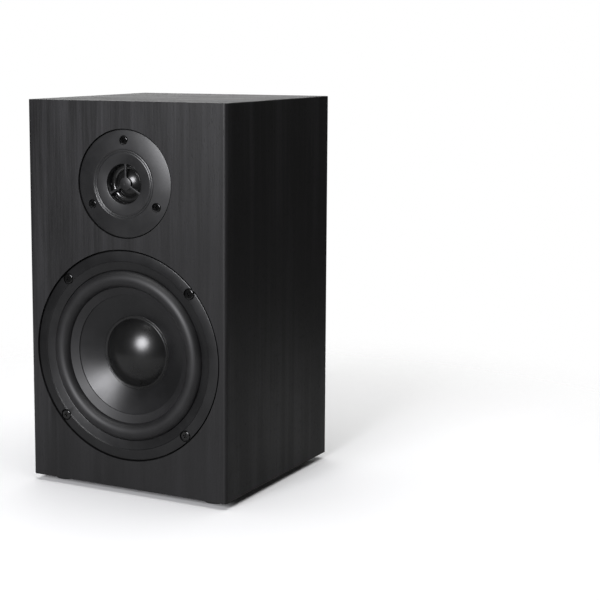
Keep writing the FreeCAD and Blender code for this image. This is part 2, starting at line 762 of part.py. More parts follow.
def terminal_shell():
    face = box(-plate_w / 2, plate_w / 2, cup_face_y - cup_plate_t, cup_face_y,
               terminal_z - plate_h / 2, terminal_z + plate_h / 2)
    face = round_edges(face, corner_r, Vector(0, 1, 0))
    well = box(-cup_w / 2 - cup_wall, cup_w / 2 + cup_wall, cup_floor_y - cup_wall,
               cup_face_y - cup_plate_t, terminal_z - cup_h / 2 - cup_wall,
               terminal_z + cup_h / 2 + cup_wall)
    cup = face.fuse(well)
    hollow = box(-cup_w / 2, cup_w / 2, cup_floor_y, cup_face_y + 1,
                 terminal_z - cup_h / 2, terminal_z + cup_h / 2)
    cup = cup.cut(round_edges(hollow, 2.0, Vector(0, 1, 0)))
    extras = []
    holes = []
    for x in lever_x:
        for side in (-1, 1):
            inner = x + side * (lever_w / 2 + ear_gap)
            outer = inner + side * ear_t
            ear = box(min(inner, outer), max(inner, outer), cup_floor_y, hinge_y + 2.4,
                      hinge_z - 3.2, terminal_z + cup_h / 2)
            extras.append(ear)
        mouth = Vector(x, cup_floor_y + collar_h, terminal_z - wire_drop)
        extras.append(rod(collar_r, Vector(x, cup_floor_y, terminal_z - wire_drop), mouth))
        holes.append(rod(wire_bore_r, Vector(x, cup_floor_y - cup_wall - 1, terminal_z - wire_drop),
                         mouth + Vector(0, 1, 0)))
        reach = lever_w / 2 + ear_gap + ear_t + 1
        holes.append(rod(pin_r + shank_clearance, Vector(x - reach, hinge_y, hinge_z),
                         Vector(x + reach, hinge_y, hinge_z)))
        slot = strip_t / 2 + strip_slot_gap
        holes.append(box(x - strip_w / 2 - strip_slot_gap, x + strip_w / 2 + strip_slot_gap,
                         cup_floor_y - cup_wall - 1, cup_floor_y + 0.01,
                         strip_z - slot, strip_z + slot))
    cup = cup.fuse(extras)
    gasket = box(-plate_w / 2, plate_w / 2, rear_y, rear_y + cup_gasket_t,
                 terminal_z - plate_h / 2, terminal_z + plate_h / 2)
    gasket = round_edges(gasket, corner_r, Vector(0, 1, 0))
    gasket = gasket.cut(box(-cup_w / 2 - cup_wall - cup_clearance, cup_w / 2 + cup_wall + cup_clearance,
                            rear_y - 1, rear_y + 2, terminal_z - cup_h / 2 - cup_wall - cup_clearance,
                            terminal_z + cup_h / 2 + cup_wall + cup_clearance))
    screws = []
    for k, place in enumerate(terminal_bolts):
        clear = rod(plate_screw[2] + shank_clearance, place, place + from_back * 6)
        holes.append(clear)
        gasket = gasket.cut(clear)
        screws.append(screw(plate_screw, place, from_back, 10 + 27 * k))
    for hole in holes:
        cup = cup.cut(hole)
    save("terminal_cup", cup.removeSplitter())
    save("terminal_gasket", gasket)
    save("terminal_screws", group(screws))


def levers():
    tilt = math.radians(lever_tilt)

    def place(along, out):
        return Vector(0, hinge_y + along * math.sin(tilt) + out * math.cos(tilt),
                      hinge_z - along * math.cos(tilt) + out * math.sin(tilt))

    pins = []
    for node, x in (("black_lever", lever_x[0]), ("red_lever", lever_x[1])):
        corners = [place(0, -lever_back), place(lever_l, -lever_back), place(lever_l, lever_lip),
                   place(lever_l - 2.4, lever_lip), place(lever_l - 3.6, lever_front),
                   place(0, lever_front)]
        blade = Part.Face(Part.makePolygon(corners + corners[:1])).extrude(Vector(lever_w, 0, 0))
        blade.translate(Vector(-lever_w / 2, 0, 0))
        hub = rod(lever_hub_r, Vector(-lever_w / 2, hinge_y, hinge_z), Vector(lever_w / 2, hinge_y, hinge_z))
        body = blade.fuse(hub)
        body = body.cut(rod(pin_r + pin_clearance, Vector(-lever_w, hinge_y, hinge_z),
                            Vector(lever_w, hinge_y, hinge_z)))
        body.translate(Vector(x, 0, 0))
        save(node, body.removeSplitter())
        reach = lever_w / 2 + ear_gap + ear_t
        pins.append(rod(pin_r, Vector(x - reach, hinge_y, hinge_z), Vector(x + reach, hinge_y, hinge_z)))
    save("lever_pins", group(pins))

    under = place(lever_l - 2.5, -lever_back - glue_gap - strip_t)
    for node, x in (("black_contact_spring", lever_x[0]), ("red_contact_spring", lever_x[1])):
        floor = cup_floor_y + strip_slot_gap
        low_z = under.z - 3.4
        bend = Vector(0, under.y - floor, under.z - low_z).normalize() * strip_t
        across = Vector(0, -bend.z, bend.y)
        outline = [Vector(0, tab_end_y, strip_z - strip_t / 2), Vector(0, tab_end_y, strip_z + strip_t / 2),
                   Vector(0, floor + strip_t, strip_z + strip_t / 2),
                   Vector(0, floor + strip_t, low_z + 1.2),
                   Vector(0, under.y, under.z) + across, Vector(0, under.y, under.z),
                   Vector(0, floor, low_z), Vector(0, floor, strip_z - strip_t / 2)]
        leaf = Part.Face(Part.makePolygon(outline + outline[:1])).extrude(Vector(strip_w, 0, 0))
        leaf.translate(Vector(x - strip_w / 2, 0, 0))
        save(node, leaf)


# ---- crossover behind the back panel
def crossover():
    board = box(-board_w / 2, board_w / 2, board_front_y, board_front_y + board_t,
                board_z - board_h / 2, board_z + board_h / 2)
    spacers = []
    screws = []
    for k, place in enumerate(board_bolts):
        clear = rod(board_screw[2] + shank_clearance, place - inwards, place + inwards * 20)
        board = board.cut(clear)
        spacer = rod(standoff_r, place + inwards * board_t, place + inwards * (board_t + standoff_h))
        spacers.append(spacer.cut(clear))
        screws.append(screw(board_screw, place, inwards, 33 * k))
    face = board_front_y

    def legged(body, x0, x1, y, z):
        legs = []
        for end, out in ((x0, -2.5), (x1, 2.5)):
            knee = Vector(end + out, y, z)
            legs.append(rod(leg_r, Vector(end - out * 0.2, y, z), knee))
            legs.append(rod(leg_r, knee, Vector(end + out, face, z)))
            legs.append(Part.makeSphere(leg_r, knee))
        return body.fuse(legs)

    capacitors = []
    for z in (board_z - 14, board_z + 4):
        x0 = -board_w / 2 + 8
        y = face - capacitor_r - 0.3
        body = rod(capacitor_r, Vector(x0, y, z), Vector(x0 + capacitor_l, y, z))
        ends = [e for e in body.Edges if e.Closed]
        capacitors.append(legged(body.makeFillet(1.0, ends), x0, x0 + capacitor_l, y, z))
    save("crossover_capacitors", group(capacitors))

    z = board_z + 20.5
    y = face - resistor_w / 2 - 0.3
    block = box(-18, -18 + resistor_l, y - resistor_w / 2, y + resistor_w / 2,
                z - resistor_w / 2, z + resistor_w / 2)
    save("crossover_resistor", legged(block, -18, -18 + resistor_l, y, z))

    at = Vector(20, face, board_z - 2)

    def spool(outline):
        edges = Part.makePolygon([Vector(at.x + r, at.y - h, at.z) for r, h in outline + outline[:1]])
        return Part.Face(edges).revolve(at, Vector(0, 1, 0), 360)

    save("crossover_coil_bobbin", spool([
        (3, 0), (bobbin_r, 0), (bobbin_r, bobbin_flange), (bobbin_core_r, bobbin_flange),
        (bobbin_core_r, bobbin_h - bobbin_flange), (bobbin_r, bobbin_h - bobbin_flange),
        (bobbin_r, bobbin_h), (3, bobbin_h)]))
    save("crossover_coil_winding", spool([
        (bobbin_core_r + 0.1, bobbin_flange + 0.1), (bobbin_r - 1.2, bobbin_flange + 0.1),
        (bobbin_r - 1.2, bobbin_h - bobbin_flange - 0.1),
        (bobbin_core_r + 0.1, bobbin_h - bobbin_flange - 0.1)]))
    save("crossover_board", board)
    save("crossover_standoffs", group(spacers))
    save("crossover_screws", group(screws))


# ---- leads inside the cabinet, each along its own route between its two ends
def leads():
    pad_z = board_z - board_h / 2 + 5
    lug_y = front_y + strip_front + strip_board_t + lug_t
    for name, side in (("black", -1), ("red", 1)):
        x = side * lever_pitch / 2
        supply = [Vector(x, tab_end_y, strip_z), Vector(x, tab_end_y - 20, strip_z),
                  Vector(x + side * 3, tab_end_y - 27, strip_z + 26),
                  Vector(x + side * 4, tab_end_y - 28, strip_z + 54),
                  Vector(x + side * 2, board_front_y - 22, pad_z),
                  Vector(x + side * 2, board_front_y, pad_z)]
        save("supply_lead_" + name, tube("supply_lead_" + name, supply, lead_d))

        lug = woofer_z + side * lug_z
        start_x = -strip_out_r - 3
        end_x = -24 - side * 3
        woofer = [Vector(start_x, lug_y, lug), Vector(start_x, lug_y + 20, lug),
                  Vector(start_x - 2, lug_y + 46, lug + 12 + side * 2),
                  Vector(-64, lug_y + 70, woofer_z + 34 + side * 5),
                  Vector(-56, lug_y + 92, woofer_z + 54 + side * 4),
                  Vector(end_x, board_front_y - 22, pad_z + side * 2),
                  Vector(end_x, board_front_y, pad_z + side * 2)]
        save("woofer_lead_" + name, tube("woofer_lead_" + name, woofer, lead_d))

        top_z_pad = board_z + board_h / 2 - 4
        high = [Vector(side * tweeter_tab_x, tweeter_tab_y, tweeter_z),
                Vector(side * tweeter_tab_x, tweeter_tab_y + 22, tweeter_z),
                Vector(side * 9, tweeter_tab_y + 48, tweeter_z - 8),
                Vector(side * 11, tweeter_tab_y + 74, tweeter_z - 17),
                Vector(side * 12, board_front_y - 22, top_z_pad),
                Vector(side * 12, board_front_y, top_z_pad)]
        save("tweeter_lead_" + name, tube("tweeter_lead_" + name, high, lead_d))


cabinet()
feet()
damping()
woofer_frame()
woofer_moving()
woofer_motor()
woofer_terminals()
tweeter_front()
tweeter_moving()
tweeter_motor()
tweeter_terminals()
terminal_shell()
levers()
crossover()
leads()
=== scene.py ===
import json
import math

import bpy
import numpy as np
from mathutils import Matrix, Vector


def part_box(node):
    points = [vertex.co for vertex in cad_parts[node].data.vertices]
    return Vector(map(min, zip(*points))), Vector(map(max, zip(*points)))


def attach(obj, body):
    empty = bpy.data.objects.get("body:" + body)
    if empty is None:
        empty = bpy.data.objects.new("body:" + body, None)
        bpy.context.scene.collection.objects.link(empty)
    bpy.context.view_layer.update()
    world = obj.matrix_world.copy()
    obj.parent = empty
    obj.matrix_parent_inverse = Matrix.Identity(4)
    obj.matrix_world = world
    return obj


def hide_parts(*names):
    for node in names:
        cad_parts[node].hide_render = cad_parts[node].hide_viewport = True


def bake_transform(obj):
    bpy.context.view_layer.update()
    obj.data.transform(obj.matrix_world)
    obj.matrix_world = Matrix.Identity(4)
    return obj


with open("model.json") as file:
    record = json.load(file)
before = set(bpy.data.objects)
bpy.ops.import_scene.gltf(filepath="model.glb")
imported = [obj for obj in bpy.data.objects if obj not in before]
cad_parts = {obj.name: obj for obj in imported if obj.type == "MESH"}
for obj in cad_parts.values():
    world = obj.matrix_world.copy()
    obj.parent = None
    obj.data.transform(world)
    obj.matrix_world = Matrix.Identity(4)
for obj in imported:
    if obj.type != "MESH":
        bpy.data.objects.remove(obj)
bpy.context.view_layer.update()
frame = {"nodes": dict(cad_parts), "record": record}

# Looks of a two-way sealed bookshelf speaker. Lengths in the piece dictionaries are millimetres,
# depths are behind the front face of the baffle, and places come from the frame's own nodes.
mm = 0.001
fullTurn = 2 * math.pi


# shader graphs
class Wire:
    # an output socket with arithmetic: each operator adds one Math node to its graph
    def __init__(self, graph, socket):
        self.graph = graph
        self.socket = socket

    def __add__(self, other):
        return self.graph.math("ADD", self, other)

    def __radd__(self, other):
        return self.graph.math("ADD", other, self)

    def __sub__(self, other):
        return self.graph.math("SUBTRACT", self, other)

    def __rsub__(self, other):
        return self.graph.math("SUBTRACT", other, self)

    def __mul__(self, other):
        return self.graph.math("MULTIPLY", self, other)

    def __rmul__(self, other):
        return self.graph.math("MULTIPLY", other, self)


class Graph:
    def __init__(self, name):
        self.material = bpy.data.materials.new(name)
        self.material.use_nodes = True
        self.nodes = self.material.node_tree.nodes
        self.links = self.material.node_tree.links
        self.nodes.clear()

    # any node: its type, its settings, then socket values or wires by name or number
    def node(self, kind, settings, sockets, output=0):
        made = self.nodes.new(kind)
        for key, value in settings.items():
            setattr(made, key, value)
        for key, value in sockets.items():
            if isinstance(value, Wire):
                self.links.new(value.socket, made.inputs[key])
            else:
                made.inputs[key].default_value = value
        return Wire(self, made.outputs[output])

    def math(self, operation, left, right=0.0, clamp=False):
        return self.node("ShaderNodeMath", {"operation": operation, "use_clamp": clamp}, {0: left, 1: right})

    def place(self):
        return self.node("ShaderNodeTexCoord", {}, {}, "Object")

    def stretched(self, place, perMetre):
        return self.node("ShaderNodeVectorMath", {"operation": "MULTIPLY"}, {0: place, 1: perMetre})

    def parts(self, vector):
        split = self.node("ShaderNodeSeparateXYZ", {}, {0: vector}).socket.node
        return [Wire(self, split.outputs[k]) for k in range(3)]

    def noise(self, place, scale, detail=2.0, rough=0.5):
        sockets = {"Vector": place, "Scale": scale, "Detail": detail, "Roughness": rough}
        return self.node("ShaderNodeTexNoise", {}, sockets)

    def cells(self, place, scale):
        return self.node("ShaderNodeTexVoronoi", {}, {"Vector": place, "Scale": scale})

    # 0 below the first level, 1 above the second, smooth between
    def step(self, value, low, high):
        sockets = {"Value": value, "From Min": low, "From Max": high}
        return self.node("ShaderNodeMapRange", {"interpolation_type": "SMOOTHSTEP"}, sockets)

    def mix(self, factor, first, second):
        settings = {"data_type": "RGBA"}
        return self.node("ShaderNodeMix", settings, {0: factor, 6: first, 7: second}, 2)

    def bump(self, height, strength, distance, normal=None):
        sockets = {"Height": height, "Strength": strength, "Distance": distance}
        if normal:
            sockets["Normal"] = normal
        return self.node("ShaderNodeBump", {}, sockets)

    def finish(self, constants, varying):
        surface = self.node("ShaderNodeBsdfPrincipled", {}, {**constants, **varying})
        self.nodeOut(surface)
        return self.material

    def nodeOut(self, surface):
        out = self.nodes.new("ShaderNodeOutputMaterial")
        self.links.new(surface.socket, out.inputs["Surface"])


def grey(level, warm=0.0):
    return (level * (1 + warm), level, level * (1 - warm), 1.0)


# materials: each reads object coordinates, which are the row frame in metres
vinylLook = {"dark": (0.0040, 0.0038, 0.0041, 1), "light": (0.031, 0.0305, 0.0325, 1),
             "rough": 0.50, "band": 95, "fibre": 700, "pore": 1900, "stretch": 28, "relief": 0.00006}


def vinyl(name, along):
    # black ash print: bands of lighter fibre, fine fibre lines and short dark pores, all one way
    look = vinylLook
    graph = Graph(name)
    place = graph.place()
    long = [1.0, 1.0, 1.0]
    long[along] = 1 / look["stretch"]
    run = graph.stretched(place, tuple(long))
    wander = graph.node("ShaderNodeVectorMath", {"operation": "SCALE"}, {
        0: graph.node("ShaderNodeTexNoise", {}, {"Vector": run, "Scale": 60.0, "Detail": 1.0}, "Color"),
        "Scale": 0.004})
    run = graph.node("ShaderNodeVectorMath", {"operation": "ADD"}, {0: run, 1: wander})
    band = graph.step(graph.noise(run, look["band"], 3.0, 0.55), 0.40, 0.72)
    fibre = graph.step(graph.noise(run, look["fibre"], 2.0, 0.6), 0.35, 0.70)
    short = [1.0, 1.0, 1.0]
    short[along] = 4 / look["stretch"]
    pore = graph.step(graph.noise(graph.stretched(place, tuple(short)), look["pore"], 1.0, 0.4), 0.60, 0.72)
    fleck = graph.step(graph.noise(place, 260.0, 3.0, 0.7), 0.70, 0.80)
    # the lighter bands and fibres are strongest high up at the low X side and weaker towards the bottom: z -
    # 1.2 x plus some noise
    x, _, z = graph.parts(place)
    highLowXLevel = z - x * 1.2 + graph.noise(place, 14.0, 2.0, 0.5) * 0.12
    highLowXWeight = graph.step(highLowXLevel, 0.10, 0.42) * 0.75 + 0.25
    tone = graph.math("ADD", (band * 0.78 + fibre * 0.28) * highLowXWeight, fleck * 0.12, True)
    colour = graph.mix(tone, look["dark"], look["light"])
    colour = graph.mix(pore * 0.65, colour, grey(0.004))
    rough = look["rough"] + pore * 0.18 - band * 0.06 + (graph.noise(place, 30.0) - 0.5) * 0.12
    normal = graph.bump(fibre * 0.5 - pore, 0.32, look["relief"])
    return graph.finish({"Specular IOR Level": 0.42},
                        {"Base Color": colour, "Roughness": rough, "Normal": normal})


def moulded(name, look):
    # moulded plastic or painted metal: spark-eroded texture, faint flow clouds and handling marks
    graph = Graph(name)
    place = graph.place()
    cloud = graph.noise(place, look.get("cloud", 45.0), 3.0, 0.6)
    grain = graph.noise(place, look.get("grain", 2600.0), 2.0, 0.5)
    rub = graph.step(graph.noise(graph.stretched(place, (1.0, 1.0, 0.35)), 210.0, 4.0, 0.75), 0.60, 0.78)
    tint = look["tint"]
    deep = tuple(c * 0.72 for c in tint[:3]) + (1,)
    colour = graph.mix(graph.step(cloud, 0.3, 0.7), deep, tint)
    colour = graph.mix(rub * look.get("wear", 0.10), colour, grey(min(0.5, tint[1] * 4 + 0.05)))
    rough = look["rough"] + (cloud - 0.5) * 0.16 + rub * 0.07
    normal = graph.bump(grain, look.get("bump", 0.12), look.get("relief", 0.00004))
    constants = {"Metallic": look.get("metal", 0.0), "Specular IOR Level": look.get("gloss", 0.5)}
    for key in ("Coat Weight", "Coat Roughness"):
        if key in look:
            constants[key] = look[key]
    return graph.finish(constants, {"Base Color": colour, "Roughness": rough, "Normal": normal})


def machined(name, look):
    # metal with a fine turned or drawn lay and small stains
    graph = Graph(name)
    place = graph.place()
    lay = graph.noise(graph.stretched(place, look["lay"]), 1500.0, 2.0, 0.6)
    stain = graph.noise(place, 95.0, 4.0, 0.6)
    tint = look["tint"]
    worn = tuple(c * 0.6 for c in tint[:3]) + (1,)
    colour = graph.mix(graph.step(stain, 0.35, 0.75), tint, worn)
    rough = look["rough"] + (lay - 0.5) * 0.16 + (stain - 0.5) * 0.14
    normal = graph.bump(lay, 0.15, 0.00002)
    return graph.finish({"Metallic": look.get("metal", 1.0)},
                        {"Base Color": colour, "Roughness": rough, "Normal": normal})


def speckled(name, look):
    # sintered or pressed stuff: pores, chips and dusty patches
    graph = Graph(name)
    place = graph.place()
    pit = graph.step(graph.cells(place, look["pits"]), 0.05, 0.30)
    dust = graph.noise(place, 60.0, 4.0, 0.65)
    colour = graph.mix(graph.step(dust, 0.35, 0.75), look["tint"], look["dusty"])
    # the pits are painted near black: painted shade in the pores
    colour = graph.mix((1 - pit) * 0.6, colour, grey(0.01))
    rough = look["rough"] + (dust - 0.5) * 0.15
    normal = graph.bump(pit, 0.35, 0.0001)
    return graph.finish({"Specular IOR Level": 0.4},
                        {"Base Color": colour, "Roughness": rough, "Normal": normal})


def woven(name, look):
    # plain weave: two thread waves at right angles, the upper one swapping at each crossing
    graph = Graph(name)
    place = graph.place()
    x, _, z = graph.parts(place)
    count = fullTurn / (look["thread"] * mm)
    across = graph.math("SINE", x * count)
    up = graph.math("SINE", z * count)
    height = graph.math("MAXIMUM", across * graph.math("SIGN", up), up * graph.math("SIGN", across) * -1.0)
    fuzz = graph.noise(place, 1300.0, 3.0, 0.6)
    tint = look["tint"]
    # deep is a darker copy of the thread colour, painted where the threads dip under: painted shade in the
    # low parts of the weave
    deep = tuple(c * 0.35 for c in tint[:3]) + (1,)
    colour = graph.mix(graph.step(height * 0.6 + fuzz, 0.2, 1.1), deep, tint)
    normal = graph.bump(height + fuzz * 0.5, 0.5, look["thread"] * 0.25 * mm)
    return graph.finish({"Sheen Weight": 0.15}, {"Base Color": colour, "Roughness": 0.78 + (fuzz - 0.5) * 0.2,
                                                 "Normal": normal})


def wound(name, look, axis):
    # enamelled wire laid in turns along one axis, with a slow change of shade
    graph = Graph(name)
    place = graph.place()
    along = graph.parts(place)[axis]
    turn = graph.math("ABSOLUTE", graph.math("SINE", along * (math.pi / (look["wire"] * mm))))
    shade = graph.noise(place, 140.0, 3.0, 0.6)
    # the grooves between turns are painted dark copper: painted shade between the wires
    colour = graph.mix(graph.step(turn + shade * 0.4, 0.15, 0.75), (0.10, 0.025, 0.012, 1), look["tint"])
    normal = graph.bump(turn, 0.8, look["wire"] * 0.4 * mm)
    return graph.finish({"Metallic": 0.85, "Coat Weight": 0.5, "Coat Roughness": 0.15},
                        {"Base Color": colour, "Roughness": 0.26 + shade * 0.16, "Normal": normal})


def fleece(name, look):
    # matted fibre: tangled strands light over dark
    graph = Graph(name)
    place = graph.place()
    clump = graph.noise(place, 120.0, 5.0, 0.75)
    strand = graph.noise(graph.stretched(place, (1.0, 0.4, 1.6)), 900.0, 4.0, 0.8)
    colour = graph.mix(graph.step(clump * 0.5 + strand * 0.6, 0.35, 0.75), look["low"], look["high"])
    normal = graph.bump(clump + strand * 0.6, 0.9, 0.0012)
    return graph.finish({"Sheen Weight": 0.5}, {"Base Color": colour, "Roughness": 0.9 + (strand - 0.5) * 0.1,
                                                "Normal": normal})


def board(name, look):
    # glass laminate: a faint cloth weave under the resin
    graph = Graph(name)
    place = graph.place()
    x, _, z = graph.parts(place)
    count = math.pi / (look["weave"] * mm)
    weave = graph.math("SINE", x * count) * graph.math("SINE", z * count)
    haze = graph.noise(place, 80.0, 3.0, 0.6)
    colour = graph.mix(graph.step(weave * 0.25 + haze, 0.2, 0.9), look["low"], look["high"])
    return graph.finish({"Coat Weight": 0.2, "Coat Roughness": 0.2},
                        {"Base Color": colour, "Roughness": 0.42 + (haze - 0.5) * 0.2,
                         "Normal": graph.bump(weave, 0.08, 0.00003)})


def fibreboard(name, look):
    # painted or bare fibreboard: short flattened chips
    graph = Graph(name)
    place = graph.place()
    chip = graph.noise(graph.stretched(place, (1.0, 1.0, 0.6)), 700.0, 4.0, 0.7)
    cloud = graph.noise(place, 25.0, 3.0, 0.6)
    colour = graph.mix(graph.step(chip * 0.6 + cloud * 0.5, 0.35, 0.75), look["low"], look["high"])
    rough = look["rough"] + (chip - 0.5) * 0.14 + (cloud - 0.5) * 0.1
    return graph.finish({}, {"Base Color": colour, "Roughness": rough,
                             "Normal": graph.bump(chip, 0.25, 0.00008)})


# the record's slot, then how it is made
finishes = {
    "front_vinyl": vinyl("baffleVinyl", 2),
    "side_vinyl": vinyl("wrapVinyl", 2),
    "back_board": fibreboard("backBoard", {"low": grey(0.006), "high": grey(0.022), "rough": 0.52}),
    "foot_rubber": moulded("footRubber", {"tint": grey(0.018), "rough": 0.72, "grain": 1800.0, "bump": 0.3}),
    "magnet_alloy": machined("magnetAlloy", {"tint": (0.62, 0.61, 0.58, 1), "rough": 0.28, "lay": (1, 1, 1)}),
    "wadding": fleece("wadding", {"low": (0.32, 0.31, 0.28, 1), "high": (0.82, 0.81, 0.77, 1)}),
    "trim_plastic": moulded("trimPlastic", {"tint": (0.0078, 0.0078, 0.0082, 1), "rough": 0.32, "bump": 0.14,
                                            "grain": 2200.0, "wear": 0.05, "gloss": 0.5}),
    "basket_steel": moulded("basketPaint", {"tint": grey(0.016), "rough": 0.42, "grain": 900.0,
                                             "bump": 0.25}),
    "gasket_foam": speckled("gasketFoam", {"tint": grey(0.02), "dusty": grey(0.05), "rough": 0.9,
                                              "pits": 2400.0}),
    "roll_rubber": moulded("rollRubber", {"tint": (0.0110, 0.0108, 0.0115, 1), "rough": 0.50, "bump": 0.10,
                                          "grain": 1700.0, "wear": 0.06}),
    "cone_plastic": moulded("conePlastic", {"tint": (0.0105, 0.0105, 0.0110, 1), "rough": 0.33, "bump": 0.16,
                                            "grain": 1500.0, "wear": 0.04, "gloss": 0.4}),
    "cap_plastic": moulded("capPlastic", {"tint": grey(0.0065), "rough": 0.29, "gloss": 0.65, "bump": 0.03,
                                          "grain": 900.0, "wear": 0.02}),
    "former_foil": machined("formerFoil", {"tint": (0.55, 0.55, 0.56, 1), "rough": 0.35, "lay": (1, 6, 1)}),
    "copper_wire": wound("coilWire", {"wire": 0.32, "tint": (0.78, 0.30, 0.13, 1)}, 1),
    "spider_cloth": woven("spiderCloth", {"thread": 0.55, "tint": (0.55, 0.38, 0.16, 1)}),
    "plated_steel": machined("platedSteel", {"tint": (0.60, 0.58, 0.50, 1), "rough": 0.30, "lay": (1, 5, 1)}),
    "ferrite": speckled("ferrite", {"tint": grey(0.035), "dusty": grey(0.075, 0.05), "rough": 0.62,
                                     "pits": 900.0}),
    "phenolic": fibreboard("phenolic", {"low": (0.09, 0.04, 0.02, 1), "high": (0.20, 0.10, 0.045, 1),
                                         "rough": 0.4}),
    "tinned_brass": machined("tinnedBrass", {"tint": (0.70, 0.67, 0.58, 1), "rough": 0.26, "lay": (1, 3, 1)}),
    "tinsel_braid": wound("tinselBraid", {"wire": 0.5, "tint": (0.66, 0.52, 0.36, 1)}, 1),
    "black_screws": moulded("blackScrews", {"tint": grey(0.004), "rough": 0.10, "gloss": 0.7, "bump": 0.02,
                                            "wear": 0.03}),
    "face_plastic": moulded("facePlastic", {"tint": (0.0120, 0.0120, 0.0126, 1), "rough": 0.36, "bump": 0.12,
                                            "grain": 2300.0, "wear": 0.04, "gloss": 0.75}),
    "dome_film": moulded("domeFilm", {"tint": grey(0.010), "rough": 0.24, "bump": 0.02, "wear": 0.02}),
    "board_laminate": board("boardLaminate", {"low": (0.02, 0.07, 0.03, 1), "high": (0.05, 0.16, 0.06, 1),
                                              "weave": 0.5}),
    "spacer_nylon": moulded("spacerNylon", {"tint": (0.72, 0.70, 0.62, 1), "rough": 0.45}),
    "capacitor_film": moulded("capacitorFilm", {"tint": (0.55, 0.36, 0.08, 1), "rough": 0.28,
                                                "grain": 700.0}),
    "bobbin_plastic": moulded("bobbinPlastic", {"tint": grey(0.02), "rough": 0.45}),
    "ceramic": speckled("ceramic", {"tint": (0.62, 0.60, 0.54, 1), "dusty": (0.75, 0.74, 0.70, 1),
                                     "rough": 0.7, "pits": 1200.0}),
    "cup_plastic": moulded("cupPlastic", {"tint": grey(0.014), "rough": 0.42, "grain": 1900.0, "bump": 0.2}),
    "red_plastic": moulded("redPlastic", {"tint": (0.42, 0.012, 0.010, 1), "rough": 0.33, "wear": 0.03}),
    "black_plastic": moulded("blackPlastic", {"tint": grey(0.013), "rough": 0.33}),
    "spring_steel": machined("springSteel", {"tint": (0.66, 0.62, 0.52, 1), "rough": 0.24, "lay": (6, 1, 1)}),
    "red_wire": moulded("redWire", {"tint": (0.45, 0.012, 0.010, 1), "rough": 0.42, "grain": 1200.0}),
    "black_wire": moulded("blackWire", {"tint": grey(0.012), "rough": 0.42, "grain": 1200.0}),
}
print("materials", len(finishes))


# meshes from whole arrays of points
def smooth(obj, degrees=32):
    obj.data.shade_smooth()
    obj.data.set_sharp_from_angle(angle=math.radians(degrees))


def volumeOf(points, corners):
    a, b, c = (points[corners[:, k]] for k in range(3))
    return float(np.einsum("ij,ij->i", a, np.cross(b, c)).sum() / 6)


# one closed grid of points as welded faces: equal points become one vertex, so seams and poles close
def welded(grid):
    rows, columns = grid.shape[:2]
    flat = grid.reshape(-1, 3)
    keys, first, index = np.unique(np.round(flat / 1e-8).astype(np.int64), axis=0,
                                   return_index=True, return_inverse=True)
    index = index.reshape(rows, columns)
    points = flat[first]
    faces = np.stack([index[:-1, :-1], index[1:, :-1], index[1:, 1:], index[:-1, 1:]], -1).reshape(-1, 4)
    same = faces == np.roll(faces, -1, axis=1)
    quads = faces[~same.any(1)]
    single = same.sum(1) == 1
    pinched = faces[single]
    kept = np.argsort(same[single], axis=1, kind="stable")[:, :3]
    triangles = np.take_along_axis(pinched, np.sort(kept, axis=1), 1)
    corners = np.concatenate([quads[:, [0, 1, 2]], quads[:, [0, 2, 3]], triangles])
    if volumeOf(points - points.mean(0), corners) < 0:
        quads, triangles = quads[:, ::-1], triangles[:, ::-1]
    return points, quads, triangles


def piece(name, grids, slot, degrees=32):
    start = 0
    points, quads, triangles = [], [], []
    for grid in grids:
        p, q, t = welded(grid)
        points.append(p)
        quads.append(q + start)
        triangles.append(t + start)
        start += len(p)
    points, quads, triangles = (np.concatenate(x) for x in (points, quads, triangles))
    mesh = bpy.data.meshes.new(name)
    mesh.vertices.add(len(points))
    mesh.vertices.foreach_set("co", points.astype(np.float32).ravel())
    loops = np.concatenate([quads.ravel(), triangles.ravel()]).astype(np.int32)
    sizes = np.concatenate([np.full(len(quads), 4), np.full(len(triangles), 3)])
    mesh.loops.add(len(loops))
    mesh.loops.foreach_set("vertex_index", loops)
    mesh.polygons.add(len(sizes))
    mesh.polygons.foreach_set("loop_start", (np.cumsum(sizes) - sizes).astype(np.int32))
    mesh.update(calc_edges=True)
    obj = bpy.data.objects.new(name, mesh)
    bpy.context.scene.collection.objects.link(obj)
    mesh.materials.append(finishes[slot])
    smooth(obj, degrees)
    return obj


# corners cut back by given lengths and joined by the parabola (1-u)^2 S + 2u(1-u) C + u^2 E
def softened(corners, cuts, steps=4, closed=True):
    c = np.array(corners, float)
    before, after = np.roll(c, 1, 0), np.roll(c, -1, 0)
    toBefore, toAfter = before - c, after - c
    longBefore = np.linalg.norm(toBefore, axis=1, keepdims=True)
    longAfter = np.linalg.norm(toAfter, axis=1, keepdims=True)
    cut = np.broadcast_to(np.array(cuts, float).reshape(-1, 1), longBefore.shape)
    start = c + toBefore / longBefore * np.minimum(cut, 0.45 * longBefore)
    end = c + toAfter / longAfter * np.minimum(cut, 0.45 * longAfter)
    u = np.linspace(0, 1, steps + 1)[None, :, None]
    bent = (1 - u) ** 2 * start[:, None] + 2 * u * (1 - u) * c[:, None] + u ** 2 * end[:, None]
    if not closed:
        bent[0], bent[-1] = c[0], c[-1]
    return bent.reshape(-1, c.shape[1])


